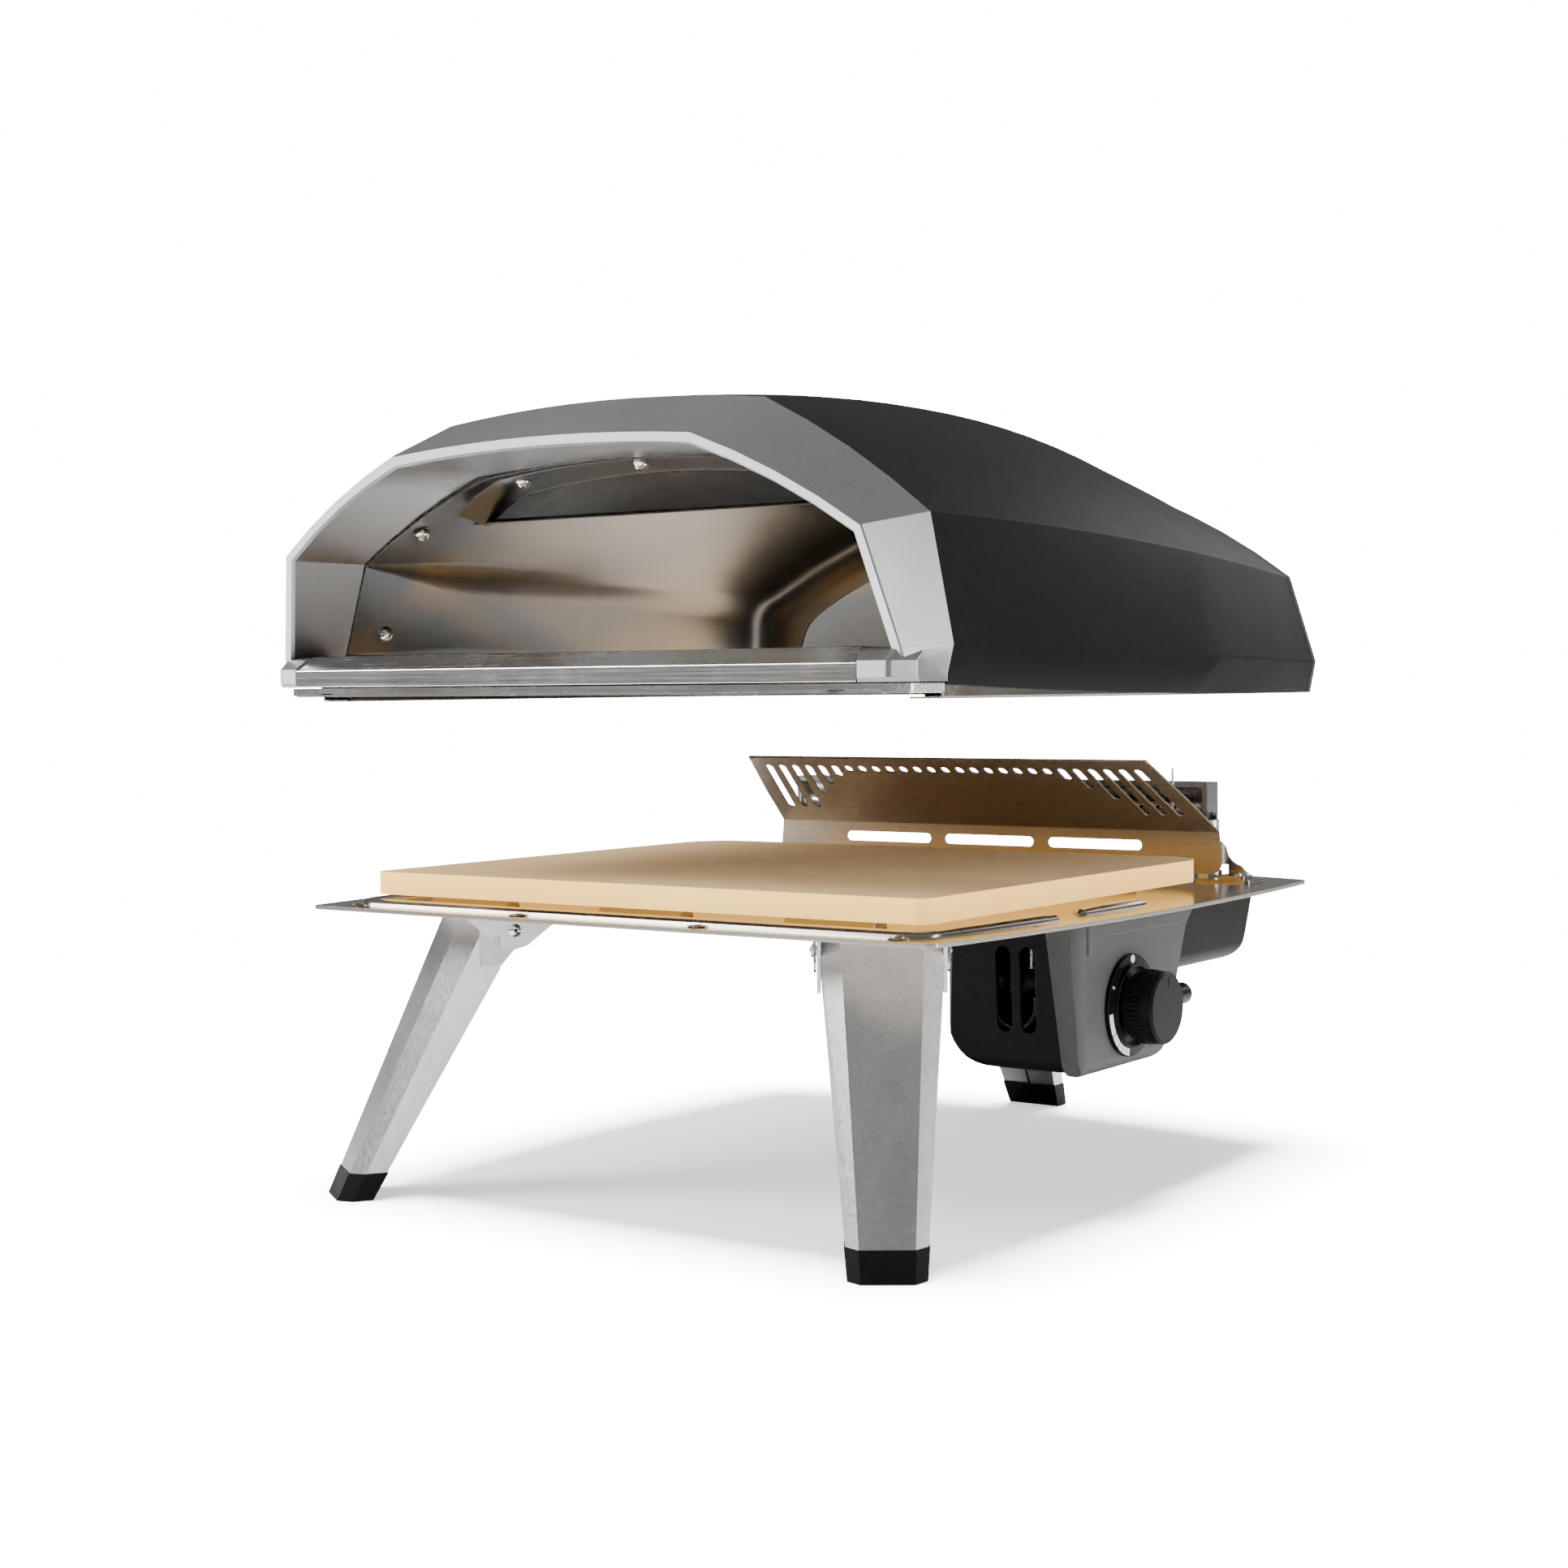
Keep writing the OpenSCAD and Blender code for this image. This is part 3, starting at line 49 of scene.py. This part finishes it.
class Mat:
    """A small builder for one procedural material."""

    def __init__(self, name, base, rough, metal=0.0, coords="Object"):
        self.m = bpy.data.materials.new(name)
        self.m.use_nodes = True
        self.t = self.m.node_tree
        self.b = self.t.nodes["Principled BSDF"]
        self.b.inputs["Base Color"].default_value = rgb(base)
        self.b.inputs["Roughness"].default_value = rough
        self.b.inputs["Metallic"].default_value = metal
        self.c = self.t.nodes.new("ShaderNodeTexCoord").outputs[coords]
        self.bump_in = None

    def link(self, a, b):
        self.t.links.new(a, b)

    def mapped(self, scale, turn=(0, 0, 0)):
        n = self.t.nodes.new("ShaderNodeMapping")
        n.inputs["Rotation"].default_value = turn
        n.inputs["Scale"].default_value = scale
        self.link(self.c, n.inputs["Vector"])
        return n.outputs["Vector"]

    def noise(self, scale, size=1.0, detail=4.0, rough=0.5, turn=(0, 0, 0), warp=0.0):
        n = self.t.nodes.new("ShaderNodeTexNoise")
        n.inputs["Scale"].default_value = size
        n.inputs["Detail"].default_value = detail
        n.inputs["Roughness"].default_value = rough
        n.inputs["Distortion"].default_value = warp
        self.link(self.mapped(scale, turn), n.inputs["Vector"])
        return n.outputs["Fac"]

    def remap(self, v, a, b, lo, hi):
        n = self.t.nodes.new("ShaderNodeMapRange")
        n.inputs["From Min"].default_value = a
        n.inputs["From Max"].default_value = b
        n.inputs["To Min"].default_value = lo
        n.inputs["To Max"].default_value = hi
        self.link(v, n.inputs["Value"])
        return n.outputs["Result"]

    def math(self, op, a, b):
        n = self.t.nodes.new("ShaderNodeMath")
        n.operation = op
        for k, v in enumerate((a, b)):
            if isinstance(v, (int, float)):
                n.inputs[k].default_value = v
            else:
                self.link(v, n.inputs[k])
        return n.outputs[0]

    def mix(self, fac, a, b):
        n = self.t.nodes.new("ShaderNodeMix")
        n.data_type = "RGBA"
        n.clamp_factor = True
        if isinstance(fac, (int, float)):
            n.inputs[0].default_value = fac
        else:
            self.link(fac, n.inputs[0])
        for k, v in ((6, a), (7, b)):
            if isinstance(v, tuple):
                n.inputs[k].default_value = rgb(v)
            else:
                self.link(v, n.inputs[k])
        return n.outputs[2]

    def color(self, v):
        self.link(v, self.b.inputs["Base Color"])

    def rough(self, v):
        self.link(v, self.b.inputs["Roughness"])

    def bump(self, v, strength, dist):
        n = self.t.nodes.new("ShaderNodeBump")
        n.inputs["Strength"].default_value = strength
        n.inputs["Distance"].default_value = dist
        self.link(v, n.inputs["Height"])
        if self.bump_in is not None:
            self.link(self.bump_in, n.inputs["Normal"])
        self.bump_in = n.outputs["Normal"]
        self.link(self.bump_in, self.b.inputs["Normal"])

    def axis(self, k):
        n = self.t.nodes.new("ShaderNodeSeparateXYZ")
        self.link(self.c, n.inputs[0])
        return n.outputs[k]

    def facing(self, k):
        g = self.t.nodes.new("ShaderNodeNewGeometry")
        n = self.t.nodes.new("ShaderNodeSeparateXYZ")
        self.link(g.outputs["Normal"], n.inputs[0])
        return n.outputs[k]


def brushed(name, base, rough, grain, depth=0.10, tint=None, tint_amt=0.4, turn=(0, 0, 0), patch=6.0, var=0.16, vary=0.08):
    """Brushed metal: long fine scratches along one axis, slow tone changes and faint smears."""
    m = Mat(name, base, rough, 1.0)
    fine = m.noise(grain, 1.0, 3.0, 0.65, turn)
    slow = m.noise((patch, patch, patch), 1.0, 3.0, 0.5, (0, 0, 0), 0.4)
    dark = tuple(v * (1 - var) for v in base)
    light = tuple(min(1.0, v * (1 + var * 0.8)) for v in base)
    col = m.mix(m.remap(slow, 0.35, 0.65, 0, 1), dark, light)
    if tint:
        # patches of the tint colour: heat tint on the tray, sill and liner; on the flame guard they are a painted
        # reflection of the baking stone
        heat_tint_and_reflection = m.noise((patch * 0.5, patch * 0.7, patch * 0.9), 1.0, 2.0, 0.5, (0.3, 0.2, 0.8), 0.8)
        col = m.mix(m.remap(heat_tint_and_reflection, 0.42, 0.62, 0, tint_amt), col, tint)
    col = m.mix(m.remap(fine, 0.3, 0.7, 0, 0.10), col, dark)
    m.color(col)
    r = m.remap(fine, 0.25, 0.75, rough - vary, rough + vary)
    smear = m.noise((18, 18, 18), 1.0, 5.0, 0.6, (0.4, 0.1, 0.5), 1.0)
    m.rough(m.math("ADD", r, m.remap(smear, 0.5, 0.75, 0, 0.8 * vary)))
    m.bump(fine, depth, 0.00025)
    return m


def coated(name, base, rough, grain=0.12, var=0.18, metal=0.0, dust=None, coat=0.0, size=2600.0):
    """Powder coat or moulded plastic: orange peel, slow variation, faint dust on upward faces."""
    m = Mat(name, base, rough, metal)
    peel = m.noise((size, size, size), 1.0, 2.0, 0.5)
    slow = m.noise((7, 7, 7), 1.0, 4.0, 0.55, (0, 0, 0), 0.5)
    dark = tuple(v * (1 - var) for v in base)
    light = tuple(v * (1 + var) for v in base)
    col = m.mix(m.remap(slow, 0.32, 0.68, 0, 1), dark, light)
    speck = m.noise((900, 900, 900), 1.0, 2.0, 0.6)
    col = m.mix(m.remap(speck, 0.62, 0.8, 0, 0.25), col, light)
    if dust:
        up = m.remap(m.facing(2), 0.2, 1.0, 0, 0.10)
        col = m.mix(m.math("MULTIPLY", up, m.remap(slow, 0.4, 0.7, 0.2, 1)), col, dust)
    m.color(col)
    m.rough(m.math("ADD", m.remap(slow, 0.3, 0.7, rough - 0.05, rough + 0.06), m.remap(peel, 0.3, 0.7, -0.03, 0.03)))
    m.bump(peel, grain, 0.0003)
    if metal < 0.5 and base[0] < 0.1:
        m.b.inputs["Specular IOR Level"].default_value = 0.07
    m.b.inputs["Coat Weight"].default_value = coat
    m.b.inputs["Coat Roughness"].default_value = 0.25
    return m


M = {}
M["tray"] = brushed("tray_polished", (0.36, 0.33, 0.29), 0.18, (10, 1800, 1800), 0.006, (0.40, 0.29, 0.17), 0.4, (0, 0, 0), 2.0, 0.08)
# the guard's brown base, brown tint patches and lowered metallic stand in for the baking stone seen in it: painted
# reflection
M["guard"] = brushed("guard_steel", (0.42, 0.36, 0.29), 0.30, (10, 1800, 1800), 0.003, (0.36, 0.25, 0.13), 0.6, (0, 0, 0), 2.0, 0.08, 0.04)
M["guard"].b.inputs["Metallic"].default_value = 0.6
M["burner"] = brushed("burner_steel", (0.55, 0.54, 0.53), 0.26, (12, 380, 380), 0.07)
M["box"] = brushed("box_steel", (0.42, 0.42, 0.43), 0.24, (500, 500, 12), 0.07)
M["chrome"] = brushed("screw_chrome", (0.80, 0.79, 0.78), 0.10, (160, 160, 160), 0.03, None, 0, (0, 0, 0), 40)
M["ceramic"] = coated("ceramic", (0.85, 0.84, 0.80), 0.35, 0.05, 0.06)
M["cast"] = coated("cast_alloy", (0.52, 0.53, 0.55), 0.38, 0.5, 0.15, 1.0, None, 0, 1200)
M["fitting"] = coated("black_fitting", (0.012, 0.012, 0.012), 0.26, 0.05, 0.2)
M["plastic"] = coated("black_plastic", (0.03, 0.03, 0.03), 0.45, 0.2, 0.2)
M["lead"] = coated("lead_sleeve", (0.80, 0.80, 0.78), 0.4, 0.1, 0.05)
M["housing"] = coated("housing_black", (0.006, 0.006, 0.006), 0.42, 0.10, 0.2)
M["cover"] = coated("cover_grey", (0.075, 0.075, 0.076), 0.44, 0.14, 0.1)
M["dial"] = coated("dial_black", (0.004, 0.004, 0.004), 0.30, 0.05, 0.2)
M["mark"] = coated("mark_white", (0.85, 0.85, 0.85), 0.5, 0.05, 0.03)
# the white print also glows faintly: painted light
M["mark"].b.inputs["Emission Color"].default_value = (1, 1, 1, 1)
M["mark"].b.inputs["Emission Strength"].default_value = 0.15
M["blackscrew"] = coated("black_screw", (0.02, 0.02, 0.02), 0.35, 0.1, 0.2, 0.6)
M["bracket"] = brushed("bracket_steel", (0.66, 0.66, 0.66), 0.36, (160, 160, 160), 0.05)
M["knob"] = coated("knob_black", (0.006, 0.006, 0.006), 0.40, 0.12, 0.2)
M["rubber"] = coated("foot_rubber", (0.004, 0.004, 0.004), 0.48, 0.25, 0.2, 0, (0.03, 0.03, 0.03))
M["shell"] = coated("shell_powder", (0.0045, 0.0045, 0.0047), 0.46, 0.16, 0.08, 0, (0.04, 0.04, 0.04), 0, 2200)
M["trim"] = coated("trim_grey", (0.055, 0.055, 0.055), 0.45, 0.2, 0.1)
M["bezel"] = coated("bezel_satin", (0.25, 0.25, 0.25), 0.32, 0.06, 0.04, 0.85, None, 0.1, 3200)
bz = M["bezel"]
# faces that look to the front are painted light grey and less metallic: a painted highlight
flip = bz.math("MULTIPLY", bz.facing(1), -1.0)
painted_front_highlight = bz.remap(flip, 0.88, 0.95, 0, 1)
old = bz.b.inputs["Base Color"].links[0].from_socket
bz.color(bz.mix(painted_front_highlight, old, (0.80, 0.80, 0.80)))
bz.link(bz.remap(painted_front_highlight, 0, 1, 0.85, 0.35), bz.b.inputs["Metallic"])
M["sill"] = brushed("sill_steel", (0.62, 0.62, 0.61), 0.22, (9, 700, 700), 0.04, (0.5, 0.45, 0.36), 0.15)
M["liner"] = brushed("liner_steel", (0.10, 0.099, 0.096), 0.23, (2200, 14, 2200), 0.001, (0.30, 0.19, 0.08), 0.7, (0, 0, 0), 5.0, 0.10, 0.02)
M["wool"] = coated("mineral_wool", (0.75, 0.72, 0.65), 0.9, 1.0, 0.15, 0, None, 0, 500)

# legs: brushed faces with coarser slanting grain on the bevels
leg = Mat("leg_steel", (0.56, 0.56, 0.56), 0.34, 1.0)
fine = leg.noise((900, 900, 60), 1.0, 3.0, 0.6, (0.0, 0.0, 0.0))
cross = leg.noise((50, 1200, 500), 1.0, 3.0, 0.65, (0.6, 0.5, 0.4))
slow = leg.noise((9, 9, 9), 1.0, 3.0, 0.5, (0, 0, 0), 0.6)
tone = leg.mix(leg.remap(slow, 0.35, 0.65, 0, 1), (0.47, 0.47, 0.47), (0.63, 0.63, 0.63))
tone = leg.mix(leg.remap(cross, 0.35, 0.7, 0, 0.35), tone, (0.36, 0.36, 0.36))
leg.color(tone)
leg.rough(leg.math("ADD", leg.remap(fine, 0.3, 0.7, 0.27, 0.40), leg.remap(cross, 0.4, 0.7, 0, 0.06)))
leg.bump(fine, 0.06, 0.0003)
leg.bump(cross, 0.10, 0.0003)
M["leg"] = leg

# stone: fine sandy ceramic; its sides are painted lighter and more saturated than its top, lit and shaded copies of
# one colour (painted light and shade)
stone = Mat("stone_cordierite", (0.86, 0.70, 0.42), 0.78)
grit = stone.noise((1500, 1500, 1500), 1.0, 3.0, 0.7)
pit = stone.noise((420, 420, 420), 1.0, 2.0, 0.5)
cloud = stone.noise((5, 5, 5), 1.0, 4.0, 0.55, (0, 0, 0), 0.7)
side = stone.mix(stone.remap(cloud, 0.3, 0.7, 0, 1), (1.0, 0.56, 0.13), (1.0, 0.62, 0.17))
top = stone.mix(stone.remap(cloud, 0.3, 0.7, 0, 1), (0.68, 0.45, 0.22), (0.78, 0.53, 0.27))
body = stone.mix(stone.remap(stone.facing(2), 0.55, 0.9, 0, 1), side, top)
body = stone.mix(stone.remap(pit, 0.60, 0.72, 0, 0.16), body, (0.35, 0.24, 0.13))
body = stone.mix(stone.remap(grit, 0.58, 0.75, 0, 0.18), body, (1.0, 0.80, 0.50))
stone.color(body)
# the stone glows in its own colour, strongly on its sides and faintly on its top: painted light
stone.link(body, stone.b.inputs["Emission Color"])
stone.link(stone.remap(stone.facing(2), 0.2, 0.9, 1.3, 0.12), stone.b.inputs["Emission Strength"])
stone.rough(stone.remap(grit, 0.3, 0.7, 0.70, 0.86))
stone.bump(grit, 0.25, 0.0003)
stone.bump(pit, 0.12, 0.0004)
M["stone"] = stone

look = {
    "tray": "base_tray stone_rests guard_posts burner_brackets shell_foot",
    "guard": "flame_guard",
    "burner": "burner_tube flame_sensor gas_feed_pipe valve_stem",
    "box": "burner_box",
    "chrome": "burner_screws pivot_bolt_left pivot_bolt_right pivot_bolt_rear liner_screws",
    "ceramic": "igniter_electrode",
    "cast": "gas_valve stem_collar",
    "fitting": "gas_inlet",
    "plastic": "igniter_module",
    "lead": "igniter_lead",
    "housing": "burner_housing",
    "cover": "control_cover",
    "dial": "dial_plate",
    "mark": "dial_marks",
    "blackscrew": "housing_screws knob_insert rear_screws",
    "bracket": "leg_bracket_left leg_bracket_right leg_bracket_rear",
    "stone": "baking_stone",
    "knob": "control_knob",
    "leg": "leg_left leg_right leg_rear",
    "rubber": "foot_cap_left foot_cap_right foot_cap_rear",
    "shell": "outer_shell rear_panel",
    "trim": "rear_trim",
    "bezel": "front_bezel",
    "sill": "sill_strip front_rail",
    "liner": "inner_liner liner_back arch_baffle",
    "wool": "insulation_blanket",
}
bevels = {
    "front_bezel": 0.0011, "baking_stone": 0.0016, "outer_shell": 0.0006, "control_cover": 0.0022,
    "burner_housing": 0.0012, "foot_cap_left": 0.0009, "foot_cap_right": 0.0009, "foot_cap_rear": 0.0009,
    "leg_left": 0.0005, "leg_right": 0.0005, "leg_rear": 0.0005, "control_knob": 0.0006, "dial_plate": 0.0006,
    "sill_strip": 0.0006, "front_rail": 0.0009, "stone_rests": 0.0015, "rear_trim": 0.0008, "gas_inlet": 0.0005,
    "base_tray": 0.0005, "flame_guard": 0.0003,
}
for key, names in look.items():
    for n in names.split():
        o = nodes[n]
        o.data.materials.clear()
        o.data.materials.append(M[key].m)
for n, o in nodes.items():
    with bpy.context.temp_override(object=o, active_object=o, selected_objects=[o], selected_editable_objects=[o]):
        if o.data.has_custom_normals:
            bpy.ops.mesh.customdata_custom_splitnormals_clear()
    for p in o.data.polygons:
        p.use_smooth = True
    w = o.modifiers.new("weld", "WELD")
    w.merge_threshold = 0.00001
    if n not in ("dial_marks", "insulation_blanket"):
        b = o.modifiers.new("edges", "BEVEL")
        b.width = bevels.get(n, 0.0003)
        b.segments = 2
        b.limit_method = "ANGLE"
        b.angle_limit = math.radians(24)
        b.use_clamp_overlap = True
    e = o.modifiers.new("normals", "WEIGHTED_NORMAL")
    e.keep_sharp = True
    e.weight = 60

# ---- small pieces that finish the hardware ---------------------------------
def disc(name, at, normal, radius, height, body, mat, sides=24):
    """A short peg with its outer end at the given point, facing along the normal."""
    me = bpy.data.meshes.new(name)
    pts, faces = [], []
    for z in (-height, 0.0):
        for k in range(sides):
            a = 2 * math.pi * k / sides
            pts.append((radius * math.cos(a), radius * math.sin(a), z))
    for k in range(sides):
        m = (k + 1) % sides
        faces.append((k, m, sides + m, sides + k))
    faces.append(tuple(range(sides, 2 * sides)))
    faces.append(tuple(range(sides - 1, -1, -1)))
    me.from_pydata(pts, [], faces)
    me.materials.append(mat)
    o = bpy.data.objects.new(name, me)
    bpy.context.scene.collection.objects.link(o)
    o.matrix_world = Matrix.Translation(at) @ Vector(normal).to_track_quat("Z", "Y").to_matrix().to_4x4()
    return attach(o, body)


def islands(o):
    """The separate solids of a node, each as a list of its points."""
    key = {}
    same = []
    for v in o.data.vertices:
        k = tuple(round(c * 200000) for c in v.co)
        same.append(key.setdefault(k, len(key)))
    up = list(range(len(key)))

    def root(i):
        while up[i] != i:
            up[i] = up[up[i]]
            i = up[i]
        return i
    for e in o.data.edges:
        a, b = root(same[e.vertices[0]]), root(same[e.vertices[1]])
        if a != b:
            up[a] = b
    groups = {}
    for v in o.data.vertices:
        groups.setdefault(root(same[v.index]), {})[same[v.index]] = v.co.copy()
    return [list(g.values()) for g in groups.values()]


def dome_tip(pts):
    """Tip and outward direction of a dome: its tip is the point that stands alone, far from the rim's plane."""
    c = sum(pts, Vector()) / len(pts)
    best = None
    far = max((p - c).length for p in pts)
    for p in pts:
        dirn = (p - c).normalized()
        spread = max((q - p).dot(dirn) for q in pts)
        size = (p - c).length
        if spread < 1e-5 and (best is None or size < best[0]) and size < far * 0.8:
            best = (size, p, dirn)
    return best


# dark discs on the pivot bolt heads stand for the shade inside their socket recesses: painted shade
for j in frame["joints"]:
    if j["name"].startswith("leg_"):
        pin, ax = Vector(j["pos_m"]), Vector(j["axis"])
        for s in (-1, 1):
            disc(j["child"] + "_socket" + str(s), pin + ax * s * 0.04297, ax * s, 0.0015, 0.0006, "base", M["blackscrew"].m, 6)
count = 0
# the same painted shade of a socket recess on the liner and burner screw heads
for name, body, mat in (("liner_screws", "shell", "blackscrew"), ("burner_screws", "base", "blackscrew")):
    for pts in islands(nodes[name]):
        tip = dome_tip(pts)
        if tip:
            count += 1
            disc(name + "_socket" + str(count), tip[1] + tip[2] * 0.00006, tip[2], 0.0011, 0.0005, body, M[mat].m, 16)
print("sockets", count)

def slab(name, pts, x0, x1, body, mat, bevel):
    """A flat piece whose outline is given as (y, z) points, running from x0 to x1."""
    n = len(pts)
    me = bpy.data.meshes.new(name)
    verts = [(x0, y, z) for y, z in pts] + [(x1, y, z) for y, z in pts]
    faces = [(k, (k + 1) % n, n + (k + 1) % n, n + k) for k in range(n)]
    faces += [tuple(range(n, 2 * n)), tuple(range(n - 1, -1, -1))]
    me.from_pydata(verts, [], faces)
    me.materials.append(mat)
    o = bpy.data.objects.new(name, me)
    bpy.context.scene.collection.objects.link(o)
    b = o.modifiers.new("edges", "BEVEL")
    b.width = bevel
    b.segments = 4
    b.limit_method = "ANGLE"
    b.angle_limit = math.radians(24)
    for q in me.polygons:
        q.use_smooth = True
    o.modifiers.new("normals", "WEIGHTED_NORMAL")
    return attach(o, body)


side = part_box("control_cover")[1].x
slab("cover_ledge", [(-0.0690, 0.1866), (-0.0690, 0.1640), (-0.0650, 0.1655), (-0.0560, 0.1745), (0.0590, 0.1745),
                     (0.0700, 0.1790), (0.0805, 0.1866)], side - 0.0006, side + 0.0013, "base", M["cover"].m, 0.0011)

# ---- camera ----------------------------------------------------------------
cam = bpy.data.objects.new("camera", bpy.data.cameras.new("camera"))
bpy.context.scene.collection.objects.link(cam)
yaw, pitch, roll = math.radians(35.1), math.radians(2.3), math.radians(-0.5)
d = Vector((-math.sin(yaw) * math.cos(pitch), math.cos(yaw) * math.cos(pitch), -math.sin(pitch)))
r = Vector((math.cos(yaw), math.sin(yaw), 0))
u = r.cross(d)
r2 = r * math.cos(roll) + u * math.sin(roll)
u2 = -r * math.sin(roll) + u * math.cos(roll)
cam.matrix_world = Matrix(((r2.x, u2.x, -d.x, 0.9323), (r2.y, u2.y, -d.y, -1.38179), (r2.z, u2.z, -d.z, 0.3311), (0, 0, 0, 1)))
cam.data.lens = 55.49
cam.data.sensor_width = 36
cam.data.clip_start = 0.05
cam.data.clip_end = 60
bpy.context.scene.camera = cam

# ---- floor and light -------------------------------------------------------
# The raised shell throws no shadow of its own on the floor, as in the photo
SHELL_PARTS = {n for n, o in nodes.items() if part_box(n)[0].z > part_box("baking_stone")[1].z + 0.08}
bpy.ops.mesh.primitive_plane_add(size=30, location=(0, 0, -0.0004))
floor = bpy.context.object
floor.name = "floor"
fm = Mat("floor_paper", (0.93, 0.93, 0.94), 0.85)
fine = fm.noise((300, 300, 300), 1.0, 3.0)
paper = fm.mix(fm.remap(fine, 0.3, 0.7, 0, 1), (0.15, 0.15, 0.15), (0.16, 0.16, 0.16))
path = fm.t.nodes.new("ShaderNodeLightPath")
lit = fm.t.nodes.new("ShaderNodeBsdfDiffuse")
fm.link(fm.mix(path.outputs["Is Camera Ray"], paper, (0.95, 0.95, 0.96)), lit.inputs["Color"])
fm.color(paper)
glow = fm.t.nodes.new("ShaderNodeEmission")
glow.inputs["Color"].default_value = (1, 1, 1, 1)
glow.inputs["Strength"].default_value = 16.0
far = fm.t.nodes.new("ShaderNodeVectorMath")
far.operation = "LENGTH"
fm.link(fm.c, far.inputs[0])
blend = fm.t.nodes.new("ShaderNodeMixShader")
fm.link(fm.math("MULTIPLY", path.outputs["Is Camera Ray"], fm.remap(far.outputs["Value"], 0.6, 1.3, 0.05, 1.0)), blend.inputs[0])
fm.link(lit.outputs[0], blend.inputs[1])
fm.link(glow.outputs[0], blend.inputs[2])
fm.link(blend.outputs[0], fm.t.nodes["Material Output"].inputs["Surface"])
floor.data.materials.append(fm.m)


def area(name, loc, target, w, h, power, color=(1, 1, 1)):
    lamp = bpy.data.lights.new(name, "AREA")
    lamp.shape = "RECTANGLE"
    lamp.size = w
    lamp.size_y = h
    lamp.energy = power
    lamp.color = color
    o = bpy.data.objects.new(name, lamp)
    bpy.context.scene.collection.objects.link(o)
    o.location = loc
    o.rotation_euler = (Vector(target) - Vector(loc)).to_track_quat("-Z", "Y").to_euler()
    o.visible_camera = False
    return o


floor_light = area("floor_light", (-0.12, 0.05, 2.5), (0, 0.05, 0), 1.5, 1.5, 1500)
floor_only = bpy.data.collections.new("floor_only")
floor_only.objects.link(floor)
floor_light.light_linking.receiver_collection = floor_only
standing = bpy.data.collections.new("standing")
for n, o in nodes.items():
    if not SHELL_PARTS.intersection([n]):
        standing.objects.link(o)
floor_light.light_linking.blocker_collection = standing
area("key", (-1.7, -1.6, 1.6), (0, 0, 0.25), 1.2, 1.2, 120)
area("top", (-0.2, 0.1, 2.3), (0, 0, 0.2), 1.8, 1.8, 95).visible_glossy = False
area("right", (2.1, 0.45, 0.45), (0.1, 0, 0.35), 0.6, 1.4, 30)
area("back", (0.6, 2.2, 1.3), (0, 0, 0.3), 1.6, 1.0, 16)

world = bpy.data.worlds.new("studio")
bpy.context.scene.world = world
world.use_nodes = True
wt = world.node_tree
for n in list(wt.nodes):
    wt.nodes.remove(n)
out = wt.nodes.new("ShaderNodeOutputWorld")
tc = wt.nodes.new("ShaderNodeTexCoord")
sep = wt.nodes.new("ShaderNodeSeparateXYZ")
wt.links.new(tc.outputs["Generated"], sep.inputs[0])
ramp = wt.nodes.new("ShaderNodeValToRGB")
ramp.color_ramp.elements[0].position = 0.0
ramp.color_ramp.elements[0].color = (0.55, 0.55, 0.56, 1)
ramp.color_ramp.elements[1].position = 1.0
ramp.color_ramp.elements[1].color = (0.60, 0.60, 0.61, 1)
for pos, v in ((0.49, 0.60), (0.56, 0.30), (0.66, 0.20), (0.80, 0.50)):
    e = ramp.color_ramp.elements.new(pos)
    e.color = (v, v, v * 1.01, 1)
mr = wt.nodes.new("ShaderNodeMapRange")
mr.inputs["From Min"].default_value = -1
mr.inputs["From Max"].default_value = 1
wt.links.new(sep.outputs[2], mr.inputs["Value"])
wt.links.new(mr.outputs[0], ramp.inputs[0])
soft = wt.nodes.new("ShaderNodeBackground")
soft.inputs["Strength"].default_value = 0.7
wt.links.new(ramp.outputs[0], soft.inputs["Color"])
seen = wt.nodes.new("ShaderNodeBackground")
seen.inputs["Color"].default_value = (1, 1, 1, 1)
seen.inputs["Strength"].default_value = 16.0
lp = wt.nodes.new("ShaderNodeLightPath")
mx = wt.nodes.new("ShaderNodeMixShader")
wt.links.new(lp.outputs["Is Camera Ray"], mx.inputs[0])
wt.links.new(soft.outputs[0], mx.inputs[1])
wt.links.new(seen.outputs[0], mx.inputs[2])
wt.links.new(mx.outputs[0], out.inputs["Surface"])
